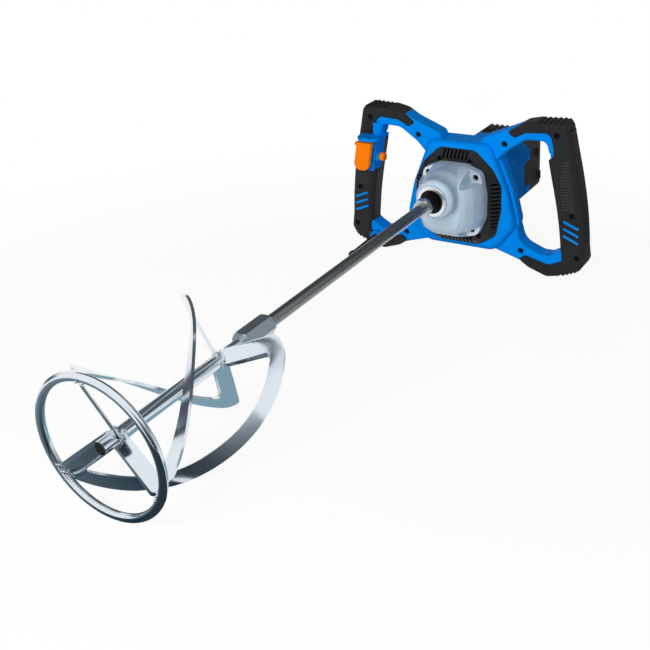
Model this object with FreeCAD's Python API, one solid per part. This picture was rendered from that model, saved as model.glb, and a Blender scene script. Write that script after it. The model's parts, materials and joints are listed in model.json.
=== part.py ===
import FreeCAD, Part
import math
import os

os.makedirs("parts", exist_ok=True)

Vec = FreeCAD.Vector
ORIGIN = Vec(0, 0, 0)
X_AXIS = Vec(1, 0, 0)
Y_AXIS = Vec(0, 1, 0)

# The pieces are modelled with the spindle along Y at x = 0, z = 0 and the face of the gearbox
# nose at y = 0. The paddle points towards -Y, the motor towards +Y and +Z is up.
# At the end the whole tool is laid on the floor, on its lower bumpers and the paddle ring.
# Sizes are in millimetres and degrees.

# Clearances
overrun = 2.0           # how far a cut runs past the face it opens
fit_gap = 0.2           # between moulded pieces that seat in each other
running_gap = 0.05      # round a shaft or pin that turns or slides in its hole
moving_gap = 0.4        # between pieces that move past each other
flush_gap = 0.02        # edges this near a plane lie in it
join_gap = 0.0001       # points nearer than this are one point

# Stirrer
rod_radius = 7.0
rod_span = 338.5        # from the jam nut to the coupling
rod_grip = 21.0         # length of rod or shaft held in the coupling or the spindle
nut_flats = 22.0
nut_height = 8.5
coupling_flats = 22.0
coupling_length = 45.0
hexagon_chamfer = 1.6
paddle_span = 201.0     # from the coupling to the paddle's tip
blade_count = 3
blade_radius = 70.0     # out to the rim, at a blade's two arms
blade_height = 186.5    # between the two arms, at the rim
blade_strip = 16.0
blade_rim = 13.0        # width of the strip at the rim
blade_bow = 11.5        # how far the rim's two tangents bow out between the arms
blade_bow_radius = 400.0
blade_lean = 17.5       # the arms spread by this angle towards the rim
blade_thickness = 3.0
blade_corner = 10.5
blade_inner_corner = 5.0
blade_twist = 162.4
blade_start = 218.3     # angle of the first blade at the tip, from +X towards +Z
blade_rush_share = 0.3  # faster turn of the strip near its arms
blade_steps = 10
ring_radius = 69.8
ring_bar_radius = 4.25

# Spindle and its bearings, from the nose backwards
spindle_reach = 18.0    # how far the spindle stands out of the nose
spindle_neck_radius = 10.0
spindle_collar_radius = 12.0
spindle_collar_reach = 3.0
spindle_journal_radius = 8.5
spindle_spacer_radius = 11.0
spindle_spacer_length = 22.0
spindle_tail_radius = 5.0
seal_depth = 3.0
seal_width = 7.0
bearing_web = 2.0       # wall of the cover between the seal and the front bearing
front_bearing_radius = 17.5
front_bearing_width = 10.0
needle_wall = 2.0
needle_length = 10.0

# Gear train: motor pinion, intermediate gear, countershaft pinion, output gear
pressure_angle = 20.0
motor_drop = 20.0       # the motor axis lies below the spindle
fast_module = 1.0
fast_pinion_teeth = 10
fast_gear_teeth = 34
slow_module = 1.5
slow_pinion_teeth = 10
slow_gear_teeth = 33
shift_share = 0.4       # profile shift in modules, plus on the pinions and minus on the gears
pinion_tip_share = 1.25
gear_tip_share = 0.6
pinion_root_share = 0.85
gear_root_share = 1.65
tooth_gap = 0.24        # thinning of each tooth, at the pitch circle
slow_gear_width = 14.0
fast_gear_width = 9.0
gear_step = 2.5         # free space between gear planes and beside the gears
gear_room = 0.95        # free space over the tips of the teeth
countershaft_radius = 4.0

# Gearbox cover and gear plate
nose_radius = 20.5
nose_bore_radius = 16.0
nose_chamfer = 1.0
boss_front = 4.0
boss_round = 8.0
boss_face_radius = 27.0   # the boss widens behind this, over the output gear
hill_front = 24.0
hill_shares = ((0.0, 1.0), (0.22, 0.965), (0.58, 0.87), (0.86, 0.74), (1.0, 0.62))
hill_centre_share = 0.6
cover_half_width = 47.0
cover_low = -70.0
cover_high = 31.0
flange_thickness = 9.0
cover_wall_share = 0.885
chamber_wall = 4.4
pad_depth = 11.6        # the screw pads lie this far in front of the gear plate
pad_side = 8.0          # from a cover screw to the walls beside its pad
pad_rise = 6.5
pad_round = 4.0
cover_screw_head_radius = 3.9
cover_screw_head = 5.0
cover_screw_sink = 3.6
cover_screw_radius = 2.5
plate_thickness = 14.0
cover_shares = ((0.40, 1.0, 0.50), (0.89, 0.91, 0.24), (1.0, 0.61, 0.80),
                (0.98, 0.29, 0.50), (0.78, 0.05, 0.28), (0.38, 0.0, 0.50))
cover_screw_shares = ((0.732, 0.856), (0.61, 0.125))

# Motor housing: drum with the bezel, and the barrel round the motor
drum_half_width = 81.0
drum_low = -94.0
drum_high = 55.0
drum_setback = 6.0      # the bezel lies this far behind the gear plate's front
drum_depth = 36.0
drum_wall = 4.0
bezel_round = 8.5
drum_shares = ((0.543, 1.0, 0.18), (0.857, 0.575, 0.90), (1.0, 0.25, 0.25), (0.63, 0.0, 0.26))
recess_depth = 4.0
front_wall = 9.0
barrel_bore_radius = 44.0
barrel_side_wall = 6.0
barrel_top_wall = 4.0
barrel_end_wall = 12.0
barrel_tail_room = 16.5  # from the commutator to the end wall
barrel_ledge_depth = 1.5
barrel_shares = ((0.55, 1.0, 0.13), (1.0, 0.833, 0.13), (1.0, 0.167, 0.13), (0.55, 0.0, 0.13))

# Front grille
grille_half_width = 63.0
grille_low = -86.0
grille_high = 47.0
grille_bevel = 8.0
grille_shares = ((0.41, 1.0, 0.22), (0.80, 0.83, 0.50), (1.0, 0.64, 0.32), (1.0, 0.40, 0.50),
                 (0.873, 0.12, 0.24), (0.476, 0.0, 0.30))
grille_screw_shares = ((0.354, 0.898), (0.535, 0.121))
grille_screw_radius = 3.4
grille_screw_core = 1.7
grille_screw_head = 3.4
grille_screw_sink = 4.0
grille_screw_length = 12.0
driver_slot = 0.8       # width of the slot in a screw's head
slot_width = 2.8
slot_pitch = 5.5
slot_rim = 4.0          # solid rim between the cover and the slots
bottom_slot_rim = 2.0
slot_edge = 2.0         # edge left outside the slots, in the bezel's recess
top_slots = 7
side_slots = 12
bottom_slots = 9
side_slot_centre_share = 0.455

# Rear cap
cap_depth = 44.0
cap_wall = 3.5
cap_round = 7.0
cap_rib_count = 5
cap_rib_pitch = 7.0
cap_groove_radius = 2.2
cap_pad_length = 20.0
cap_pad_high = -4.0
cap_pad_low = -39.0
cap_vent_count = 5
cap_vent_pitch = 9.0
cap_vent_width = 3.5
cap_vent_length = 30.0
cap_screw_head_radius = 4.0
cap_screw_head = 3.0
cap_screw_sink = 6.0
cap_screw_radius = 2.0
cap_screw_reach = 8.0   # length of screw in the barrel's end wall
cap_post_radius = 6.0
cap_screw_shares = ((0.62, 0.80), (0.62, 0.20))

# Motor
armature_radius = 24.6
armature_length = 46.0
armature_slots = 12
armature_slot_width = 3.0
armature_slot_depth = 9.0
air_gap = 0.8
coil_overhang = 6.0
coil_inner_radius = 29.0
coil_outer_radius = 37.0
coil_half_angle = 62.0
coil_leg_angle = 14.0
shaft_radius = 5.0
front_journal_radius = 4.0
rear_journal_radius = 3.5
front_motor_bearing_radius = 11.0
front_motor_bearing_width = 7.0
rear_motor_bearing_radius = 9.5
rear_motor_bearing_width = 6.0
fan_tip_gap = 4.0
fan_hub_radius = 11.0
fan_plate_gap = 4.0     # from the gear plate to the fan
fan_coil_gap = 1.5      # from the fan to the field coils
fan_width = 9.0
fan_disc = 2.0
fan_blades = 9
fan_blade_thickness = 1.8
commutator_radius = 12.0
commutator_length = 16.0
commutator_gap = 9.0
brush_width = 7.0
brush_height = 9.0
brush_stop = 4.0        # end wall of a brush holder
holder_wall = 2.0
holder_gap = 3.0

# Handles. Outlines are shares of the half span across both handles and of the handle height.
handle_half_span = 180.0
handle_high = 92.0
handle_low = -120.5
handle_setback = 3.8    # the parting plane lies this far behind the drum's middle
arm_depth = 25.0
arm_round = 3.2
bumper_depth = 30.5
bumper_round = 3.2
grip_half_width = 18.5
grip_half_depth = 16.5
grip_round = 9.0
grip_skin = 3.2
handle_wall = 3.2
core_end = 4.25         # the blue core stops this far inside the grip's ends
inlay_depth = 1.4
groove_radius = 2.4
groove_count = 5
grip_shares = ((0.742, 0.944, 0.92), (0.767, 0.816, 0.98), (0.811, 0.633, 1.0),
               (0.850, 0.449, 0.97), (0.873, 0.285, 0.94), (0.886, 0.120, 0.90))
notch_shares = ((0.60, 0.98, 0.01), (0.728, 0.98, 0.01), (0.728, 0.805, 0.02),
                (0.70, 0.76, 0.02), (0.60, 0.76, 0.01))
upper_arm_shares = ((0.14, 0.80, 0.01), (0.175, 0.86, 0.04), (0.367, 0.925, 0.06),
                    (0.50, 0.975, 0.05), (0.78, 0.98, 0.03), (0.78, 0.80, 0.02),
                    (0.685, 0.80, 0.02), (0.662, 0.875, 0.05), (0.505, 0.871, 0.12),
                    (0.36, 0.785, 0.09), (0.267, 0.70, 0.02), (0.14, 0.70, 0.01))
lower_arm_shares = ((0.267, 0.36, 0.01), (0.425, 0.36, 0.02), (0.48, 0.19, 0.12),
                    (0.63, 0.139, 0.06), (0.70, 0.139, 0.04), (0.77, 0.175, 0.05),
                    (0.84, 0.22, 0.03), (0.92, 0.145, 0.03), (0.885, 0.06, 0.03),
                    (0.694, 0.012, 0.06), (0.46, 0.08, 0.05), (0.267, 0.13, 0.01))
top_bumper_shares = ((0.365, 0.912, 0.02), (0.428, 0.88, 0.02), (0.514, 0.918, 0.04),
                     (0.67, 0.927, 0.025), (0.70, 0.905, 0.025), (0.728, 0.81, 0.02),
                     (0.85, 0.81, 0.02), (0.82, 0.965, 0.045), (0.79, 1.0, 0.03),
                     (0.58, 0.992, 0.05), (0.49, 0.975, 0.04))
low_bumper_shares = ((0.465, 0.09, 0.02), (0.525, 0.122, 0.025), (0.703, 0.082, 0.05),
                     (0.85, 0.139, 0.03), (0.843, 0.235, 0.02), (0.955, 0.275, 0.025),
                     (0.98, 0.13, 0.05), (0.935, 0.064, 0.06), (0.833, 0.026, 0.06),
                     (0.694, 0.0, 0.08), (0.55, 0.042, 0.05))
top_groove_shares = ((0.60, 0.993), (0.79, 1.0))
low_groove_shares = ((0.79, 0.018), (0.945, 0.068))
handle_screw_shares = ((0.349, 0.833), (0.484, 0.145), (0.747, 0.923), (0.877, 0.430), (0.924, 0.162))
arm_screws = 2          # the first of these places lie in the arms, the others in the grip
handle_screw_hole = 4.25
handle_screw_head_radius = 3.6
handle_screw_head = 3.0
handle_screw_radius = 2.0
handle_screw_sink = 3.0
handle_screw_reach = 9.0
screw_boss_radius = 6.5
inlay_count = 3
inlay_width = 3.2
inlay_slope = 23.0
inlay_share = 0.372
inlay_pitch_share = 0.047
inlay_reach_share = 0.6

# Trigger, its housing and the lock button, on the left grip.
# Lengths that end in ahead are measured from the parting plane towards the front.
trigger_inset = 3.45    # from the grip's middle towards the tool
trigger_width = 24.0
trigger_low = 3.0
trigger_high = 44.0
trigger_ahead = 34.8
trigger_plate = 6.5
trigger_round = 1.5
trigger_end_share = 0.8
trigger_lever_width = 9.0
trigger_lever_low = 16.0
trigger_lever_depth = 14.4
trigger_lever_slack = 1.6
trigger_lip = 3.0
trigger_ledge = 4.0     # height and reach of the ledge along the trigger's top
trigger_ledge_reach = 1.6
trigger_travel = 8.0    # degrees
pivot_ahead = 19.0
pivot_height = 39.0
pivot_radius = 1.6
pivot_eye_radius = 4.5
guard_outside = 9.0     # reach of the guard beyond the trigger's middle, away from the tool
guard_inside = 14.0
guard_low = 0.0
hood_thickness = 4.0
hood_ahead = 38.3
hood_half_width = 16.5
hood_inset = 3.5        # from the trigger's middle towards the tool
hood_round_share = 0.7
housing_low_share = 0.57
housing_high_share = 0.885
housing_edge_share = 0.728
button_height = 18.5
button_ahead = 11.3
button_radius = 5.8
button_reach = 7.0
button_round = 1.25
button_travel = 3.5
button_boss_radius = 9.0
button_boss_reach = 3.0
button_stem_radius = 3.0
button_stem = 6.0
switch_low = -9.0
switch_high = 36.0
switch_ahead = 11.3

# Cord boot
boot_place_shares = (0.744, 0.0753)
boot_length = 68.0      # from the collar to the free end
boot_root_radius = 7.2
boot_end_radius = 5.6
boot_bead_radius = 7.0
boot_bead = 6.0
boot_bead_round = 1.5
boot_flange_radius = 9.0
boot_flange = 4.0
boot_bore_radius = 4.2
collar_radius = 11.0
collar_ahead = 19.8
collar_depth = 14.0

# Places worked out from the sizes above, along the stirrer
nut_back = -spindle_reach
nut_front = nut_back - nut_height
coupling_back = nut_front - rod_span
coupling_front = coupling_back - coupling_length
paddle_tip = coupling_front - paddle_span
blade_low = paddle_tip
blade_high = blade_low + blade_height
blade_turn = math.radians(blade_twist)
blade_spread = math.tan(math.radians(blade_lean))

# Gear train
slow_distance = slow_module * (slow_pinion_teeth + slow_gear_teeth) / 2
fast_distance = fast_module * (fast_pinion_teeth + fast_gear_teeth) / 2
counter_z = (fast_distance**2 - slow_distance**2 - motor_drop**2) / (2 * motor_drop)
counter_x = math.sqrt(slow_distance**2 - counter_z**2)
counter_seat_radius = slow_module * (slow_pinion_teeth / 2 - pinion_root_share)
slow_room_radius = slow_module * (slow_gear_teeth / 2 + gear_tip_share) + gear_room
fast_room_radius = fast_module * (fast_gear_teeth / 2 + gear_tip_share) + gear_room
boss_radius = slow_room_radius + chamber_wall
seal_back = seal_depth + seal_width
front_bearing_front = seal_back + bearing_web
front_bearing_back = front_bearing_front + front_bearing_width
slow_gear_front = front_bearing_back + spindle_spacer_length
slow_gear_back = slow_gear_front + slow_gear_width
fast_gear_front = slow_gear_back + gear_step
fast_gear_back = fast_gear_front + fast_gear_width
cover_back = fast_gear_back + gear_step
pad_face = cover_back - pad_depth
plate_back = cover_back + plate_thickness

# Motor and housing
motor_z = -motor_drop
fan_front = plate_back + fan_plate_gap
fan_back = fan_front + fan_width
fan_radius = barrel_bore_radius - fan_tip_gap
field_front = fan_back + fan_coil_gap + coil_overhang
field_back = field_front + armature_length
commutator_front = field_back + commutator_gap
commutator_back = commutator_front + commutator_length
barrel_end = commutator_back + barrel_tail_room
barrel_back = barrel_end + barrel_end_wall
barrel_half_width = barrel_bore_radius + barrel_side_wall
barrel_high = motor_z + barrel_bore_radius + barrel_top_wall
barrel_low = motor_z - barrel_bore_radius - barrel_top_wall
cap_back = barrel_back + cap_depth
drum_front = cover_back + drum_setback
drum_back = drum_front + drum_depth
grille_front = drum_front - grille_bevel
recess_floor = drum_front + recess_depth
front_wall_back = recess_floor + front_wall

# Handles
handle_height = handle_high - handle_low
handle_plane = (drum_front + drum_back) / 2 + handle_setback
arm_front = handle_plane - arm_depth / 2
bumper_front = handle_plane - bumper_depth / 2
trigger_front = handle_plane - trigger_ahead
pivot_back = handle_plane - pivot_ahead
trigger_swing = math.radians(trigger_travel)
guard_front = (trigger_front + trigger_plate + moving_gap
               + (pivot_height - trigger_low) * math.sin(trigger_swing))
hood_front = handle_plane - hood_ahead
button_back = handle_plane - button_ahead
switch_front = handle_plane - switch_ahead
collar_front = handle_plane - collar_ahead
collar_back = collar_front + collar_depth
boot_end = collar_front - boot_length
boot_x = -boot_place_shares[0] * handle_half_span
boot_z = handle_low + boot_place_shares[1] * handle_height


def on_floor_plan(y):
    """Return a function that puts plan points u, v at x, z on the plane y."""
    return lambda u, v: Vec(u, y, v)


def at_height(z):
    """Return a function that puts points u, v at x, y on the plane z."""
    return lambda u, v: Vec(u, v, z)


def rounded_wire(corners, place):
    """Close a wire through corners (u, v, radius), each rounded by a tangent arc."""
    ends = []
    for i, (u, v, radius) in enumerate(corners):
        here = place(u, v)
        before = place(*corners[i - 1][:2])
        after = place(*corners[(i + 1) % len(corners)][:2])
        to_before = (before - here).normalize()
        to_after = (after - here).normalize()
        half = to_before.getAngle(to_after) / 2
        reach = radius / math.tan(half)
        inward = (to_before + to_after).normalize()
        middle = here + inward * (radius / math.sin(half) - radius)
        ends.append((here + to_before * reach, middle, here + to_after * reach, radius))
    edges = []
    for i, (start, middle, finish, radius) in enumerate(ends):
        if radius > 0:
            edges.append(Part.Arc(start, middle, finish).toShape())
        following = ends[(i + 1) % len(ends)][0]
        if finish.distanceToPoint(following) > join_gap:
            edges.append(Part.LineSegment(finish, following).toShape())
    return Part.Wire(edges)


def prism(corners, front, back):
    """Extrude an x, z outline along Y."""
    face = Part.Face(rounded_wire(corners, on_floor_plan(front)))
    return face.extrude(Vec(0, back - front, 0))


def turned(profile, x=0.0, z=0.0):
    """Revolve a closed profile of (radius, y) or (radius, y, corner) round an axis along Y."""
    corners = [point if len(point) == 3 else (*point, 0) for point in profile]
    face = Part.Face(rounded_wire(corners, lambda u, v: Vec(u, v, 0)))
    solid = face.revolve(ORIGIN, Y_AXIS, 360)
    return solid.translated(Vec(x, 0, z))


def cylinder(radius, front, back, x=0.0, z=0.0):
    return Part.makeCylinder(radius, back - front, Vec(x, front, z), Y_AXIS)


def sleeve(outer, inner, front, back, x=0.0, z=0.0):
    return turned([(inner, front), (outer, front), (outer, back), (inner, back)], x, z)


def block(low, high):
    return Part.makeBox(high[0] - low[0], high[1] - low[1], high[2] - low[2], Vec(*low))


def mirrored(shape):
    return shape.mirror(ORIGIN, X_AXIS)


def joined(shapes):
    whole = shapes[0].fuse(shapes[1:]) if len(shapes) > 1 else shapes[0]
    return whole.removeSplitter()


def rounded_rim(shape, y, radius):
    """Fillet every edge that lies in the plane y."""
    edges = []
    for edge in shape.Edges:
        box = edge.BoundBox
        if abs(box.YMin - y) < flush_gap and abs(box.YMax - y) < flush_gap:
            edges.append(edge)
    return shape.makeFillet(radius, edges)


def symmetric(shares, half_width, low, high):
    """Turn right-hand shares (x, z, corner), listed from the top down, into a closed outline."""
    right = [(x * half_width, low + z * (high - low), corner * half_width) for x, z, corner in shares]
    left = [(-x, z, corner) for x, z, corner in reversed(right)]
    return right + left


def grown(corners, front, back, distance):
    """Extrude an outline that is offset outwards by a distance."""
    wire = rounded_wire(corners, on_floor_plan(front)).makeOffset2D(distance)
    return Part.Face(wire).extrude(Vec(0, back - front, 0))


def scaled(corners, share, centre):
    return [(x * share, centre + (z - centre) * share, corner * share) for x, z, corner in corners]


def hexagon(flats, front, back):
    """Hexagon bar with its end corners turned off."""
    reach = flats / math.sqrt(3)
    corners = []
    for i in range(6):
        turn = math.radians(60 * i)
        corners.append((reach * math.cos(turn), reach * math.sin(turn), 0))
    bar = prism(corners, front, back)
    chamfer = hexagon_chamfer
    blank = turned([(0, front), (flats / 2, front), (flats / 2 + chamfer, front + chamfer),
                    (flats / 2 + chamfer, back - chamfer), (flats / 2, back), (0, back)])
    return bar.common(blank)


def involute(angle):
    return math.tan(angle) - angle


def gear(teeth, module, shift, tip, root, front, back, x, z, first_tooth):
    """Spur gear whose first tooth points at an angle from +X towards +Z."""
    pitch_radius = module * teeth / 2
    angle = math.radians(pressure_angle)
    base_radius = pitch_radius * math.cos(angle)
    tip_radius = pitch_radius + tip * module
    root_radius = pitch_radius - root * module
    thickness = module * (math.pi / 2 + 2 * shift * math.tan(angle)) - tooth_gap
    base_half = thickness / (2 * pitch_radius) + involute(angle)
    flank = [(root_radius, base_half)]
    for share in (0, 0.5, 1):
        radius = base_radius + (tip_radius - base_radius) * share
        flank.append((radius, base_half - involute(math.acos(base_radius / radius))))
    points = []
    for tooth in range(teeth):
        centre = first_tooth + 2 * math.pi * tooth / teeth
        rising = [(radius, centre - half) for radius, half in flank]
        falling = [(radius, centre + half) for radius, half in reversed(flank)]
        for radius, turn in rising + falling:
            points.append(Vec(x + radius * math.cos(turn), front, z + radius * math.sin(turn)))
    points.append(points[0])
    return Part.Face(Part.makePolygon(points)).extrude(Vec(0, back - front, 0))


# Stirrer

def jam_nut():
    hole = cylinder(rod_radius + running_gap, nut_front - overrun, nut_back + overrun)
    return hexagon(nut_flats, nut_front, nut_back).cut(hole)


def drive_rod():
    return cylinder(rod_radius, coupling_back - rod_grip, nut_back + rod_grip)


def rod_coupling():
    bar = hexagon(coupling_flats, coupling_front, coupling_back)
    return bar.cut(cylinder(rod_radius + running_gap, coupling_front - overrun, coupling_back + overrun))


def paddle_shaft():
    return cylinder(rod_radius, paddle_tip, coupling_front + rod_grip)


def blade_slope(share):
    """Angle of a blade's strip to the axis, at a share of its height."""
    pace = blade_turn * (1 + blade_rush_share * math.cos(2 * math.pi * share))
    return math.atan(blade_radius * pace / blade_height)


def blade_profile():
    """A blade's outline when turned round the axis: a C with spread arms and a bowed rim."""
    rise = blade_strip / 2 * math.cos(blade_slope(0))
    rim = blade_radius - blade_rim
    rim_lift = blade_spread * blade_rim
    foot_lift = blade_spread * (blade_radius - rod_radius)
    middle = (blade_low + blade_high) / 2
    return [(rod_radius, blade_low + foot_lift - rise, 0), (blade_radius, blade_low - rise, blade_corner),
            (blade_radius + blade_bow, middle, blade_bow_radius),
            (blade_radius, blade_high + rise, blade_corner), (rod_radius, blade_high - foot_lift + rise, 0),
            (rod_radius, blade_high - foot_lift - rise, 0),
            (rim, blade_high - rim_lift - rise, blade_inner_corner),
            (rim + blade_bow, middle, blade_bow_radius),
            (rim, blade_low + rim_lift + rise, blade_inner_corner),
            (rod_radius, blade_low + foot_lift + rise, 0)]


def blade_section(first, share, slide):
    """Cross-section of the twisted plate at a share of its height, moved along its own slope."""
    wave = 2 * math.pi * share
    turn = first + blade_turn * (share + blade_rush_share * math.sin(wave) / (2 * math.pi))
    slope = blade_slope(share)
    spread = blade_spread * (1 - 2 * share)
    around = Vec(-math.sin(turn), 0, math.cos(turn))
    arm = Vec(math.cos(turn), -spread, math.sin(turn))
    along = around * math.sin(slope) + Y_AXIS * math.cos(slope)
    side = (around * math.cos(slope) - Y_AXIS * math.sin(slope)) * (blade_thickness / 2)
    foot = Y_AXIS * (blade_low + blade_height * share + spread * blade_radius) + along * slide
    inner = foot + arm * (rod_radius / 4)
    outer = foot + arm * (blade_radius + blade_bow + overrun)
    corners = [inner - side, outer - side, outer + side, inner + side]
    return Part.makePolygon(corners + corners[:1])


def blade(index):
    """Flat bar with two flat arms on the shaft and a twisted, bowed rim that ends at the ring."""
    first = math.radians(blade_start + 360 * index / blade_count)
    half = blade_strip / 2
    stations = [(0, -half - overrun), (0, 0), (0, half)]
    stations += [(step / blade_steps, 0) for step in range(1, blade_steps)]
    stations += [(1, -half), (1, 0), (1, half + overrun)]
    plate = Part.makeLoft([blade_section(first, *station) for station in stations], True, False)
    return plate.common(turned(blade_profile())).cut(paddle_ring())


def paddle_ring():
    return Part.makeTorus(ring_radius, ring_bar_radius, Vec(0, paddle_tip, 0), Y_AXIS)


# Gearbox

cover_outline = symmetric(cover_shares, cover_half_width, cover_low, cover_high)
cover_centre = cover_low + hill_centre_share * (cover_high - cover_low)
cover_screw_places = [(side * x * cover_half_width, cover_low + z * (cover_high - cover_low))
                      for x, z in cover_screw_shares for side in (-1, 1)]


def spindle():
    journal = spindle_journal_radius
    collar_start = -spindle_collar_reach
    tail_back = cover_back + needle_length + fit_gap
    body = turned([(0, nut_back), (spindle_neck_radius, nut_back),
                   (spindle_neck_radius, collar_start), (spindle_collar_radius, collar_start),
                   (spindle_collar_radius, front_bearing_front), (journal, front_bearing_front),
                   (journal, front_bearing_back), (spindle_spacer_radius, front_bearing_back),
                   (spindle_spacer_radius, slow_gear_front), (journal, slow_gear_front),
                   (journal, fast_gear_front), (spindle_tail_radius, fast_gear_front),
                   (spindle_tail_radius, tail_back), (0, tail_back)])
    return body.cut(cylinder(rod_radius + running_gap, nut_back - overrun, nut_back + rod_grip))


def output_gear():
    towards = math.atan2(counter_z, counter_x) + math.pi / slow_gear_teeth
    wheel = gear(slow_gear_teeth, slow_module, -shift_share, gear_tip_share, gear_root_share,
                 slow_gear_front, slow_gear_back, 0, 0, towards)
    return wheel.cut(cylinder(spindle_journal_radius, slow_gear_front - overrun, slow_gear_back + overrun))


def countershaft():
    away = math.atan2(-counter_z, -counter_x)
    pinion = gear(slow_pinion_teeth, slow_module, shift_share, pinion_tip_share, pinion_root_share,
                  slow_gear_front, slow_gear_back, counter_x, counter_z, away)
    front = slow_gear_front - gear_step - needle_length
    back = cover_back + needle_length
    seat = counter_seat_radius
    shaft = turned([(0, front), (countershaft_radius, front), (countershaft_radius, slow_gear_front),
                    (seat, slow_gear_front), (seat, fast_gear_back), (countershaft_radius, fast_gear_back),
                    (countershaft_radius, back), (0, back)], counter_x, counter_z)
    return joined([shaft, pinion])


def intermediate_gear():
    towards = math.atan2(motor_z - counter_z, -counter_x) + math.pi / fast_gear_teeth
    wheel = gear(fast_gear_teeth, fast_module, -shift_share, gear_tip_share, gear_root_share,
                 fast_gear_front, fast_gear_back, counter_x, counter_z, towards)
    bore = cylinder(counter_seat_radius, fast_gear_front - overrun, fast_gear_back + overrun,
                    counter_x, counter_z)
    return wheel.cut(bore)


def countershaft_bearings():
    outer = countershaft_radius + needle_wall
    inner = countershaft_radius + running_gap
    front = slow_gear_front - gear_step
    front_sleeve = sleeve(outer, inner, front - needle_length, front, counter_x, counter_z)
    back_sleeve = sleeve(outer, inner, cover_back, cover_back + needle_length, counter_x, counter_z)
    return Part.makeCompound([front_sleeve, back_sleeve])


def spindle_seal():
    return sleeve(nose_bore_radius, spindle_collar_radius + running_gap, seal_depth, seal_back)


def spindle_front_bearing():
    return sleeve(front_bearing_radius, spindle_journal_radius + running_gap,
                  front_bearing_front, front_bearing_back)


def spindle_rear_bearing():
    return sleeve(spindle_tail_radius + needle_wall, spindle_tail_radius + running_gap,
                  cover_back, cover_back + needle_length)


def pad_notches(wall, back):
    """Corner notches of the cover over its four screws, larger all round by a wall."""
    notches = []
    far = 2 * cover_half_width
    for x, z in cover_screw_places:
        across_way = math.copysign(1, x)
        up_way = math.copysign(1, z - cover_centre)
        near_x = x - across_way * (pad_side + wall)
        near_z = z - up_way * (pad_rise + wall)
        far_x = near_x + across_way * far
        far_z = near_z + up_way * far
        corners = [(near_x, near_z, pad_round + wall), (far_x, near_z, 0), (far_x, far_z, 0),
                   (near_x, far_z, 0)]
        notches.append(prism(corners, 0, back))
    return notches


def gearbox_cover():
    """Casting: flange, swelling block, round boss, nose and four screw pads in its corners."""
    flange_front = cover_back - flange_thickness
    flange = prism(cover_outline, flange_front, cover_back)
    layers = []
    for depth, share in hill_shares:
        y = flange_front + depth * (hill_front - flange_front)
        layers.append(rounded_wire(scaled(cover_outline, share, cover_centre), on_floor_plan(y)))
    hill = Part.makeLoft(layers, True, True).cut(pad_notches(0, pad_face))
    slow_room = slow_gear_front - gear_step
    boss = turned([(0, boss_front), (boss_face_radius, boss_front, boss_round),
                   (boss_face_radius, front_bearing_back), (boss_radius, slow_room - chamber_wall),
                   (boss_radius, flange_front), (0, flange_front)])
    nose_root = boss_front + boss_round
    nose = turned([(0, 0), (nose_radius - nose_chamfer, 0), (nose_radius, nose_chamfer),
                   (nose_radius, nose_root), (0, nose_root)])
    cover = joined([flange, hill, boss, nose])
    inner = scaled(cover_outline, cover_wall_share, cover_centre)
    pinion_room = slow_module * (slow_pinion_teeth / 2 + pinion_tip_share) + gear_step
    fast_room = fast_gear_front - gear_step / 2
    gear_chamber = prism(inner, fast_room, cover_back + overrun)
    cuts = [gear_chamber.cut(pad_notches(chamber_wall, cover_back + overrun)),
            cylinder(slow_room_radius, slow_room, cover_back),
            cylinder(pinion_room, slow_room, cover_back, counter_x, counter_z),
            cylinder(fast_room_radius, fast_room, cover_back, counter_x, counter_z),
            cylinder(front_bearing_radius, front_bearing_front, slow_room + overrun),
            cylinder(spindle_collar_radius + fit_gap, seal_back - overrun, front_bearing_front + overrun),
            cylinder(nose_bore_radius, -overrun, seal_back),
            cylinder(countershaft_radius + needle_wall, slow_room - needle_length, slow_room + overrun,
                     counter_x, counter_z)]
    for x, z in cover_screw_places:
        cuts.append(cylinder(cover_screw_head_radius + fit_gap, pad_face - overrun,
                             pad_face + cover_screw_sink + cover_screw_head, x, z))
        cuts.append(cylinder(cover_screw_radius, pad_face, cover_back + overrun, x, z))
    return cover.cut(cuts)


def cover_screws():
    screws = []
    head_front = pad_face + cover_screw_sink
    for x, z in cover_screw_places:
        head = cylinder(cover_screw_head_radius, head_front, head_front + cover_screw_head, x, z)
        shank = cylinder(cover_screw_radius, head_front, plate_back - overrun, x, z)
        socket = cylinder(cover_screw_radius, head_front - overrun, head_front + cover_screw_head / 2, x, z)
        screws.append(joined([head, shank]).cut(socket))
    return Part.makeCompound(screws)


def gear_plate():
    plate = prism(cover_outline, cover_back, plate_back)
    bearing_front = plate_back - front_motor_bearing_width
    pinion_hole = fast_module * (fast_pinion_teeth / 2 + pinion_tip_share) + moving_gap
    front = cover_back - overrun
    needle_back = cover_back + needle_length + moving_gap
    cuts = [cylinder(spindle_tail_radius + needle_wall, front, needle_back),
            cylinder(countershaft_radius + needle_wall, front, needle_back, counter_x, counter_z),
            cylinder(pinion_hole, front, plate_back, 0, motor_z),
            cylinder(front_motor_bearing_radius, bearing_front, plate_back + overrun, 0, motor_z)]
    for x, z in cover_screw_places:
        cuts.append(cylinder(cover_screw_radius, front, plate_back - overrun, x, z))
    return plate.cut(cuts)


# Motor

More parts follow.
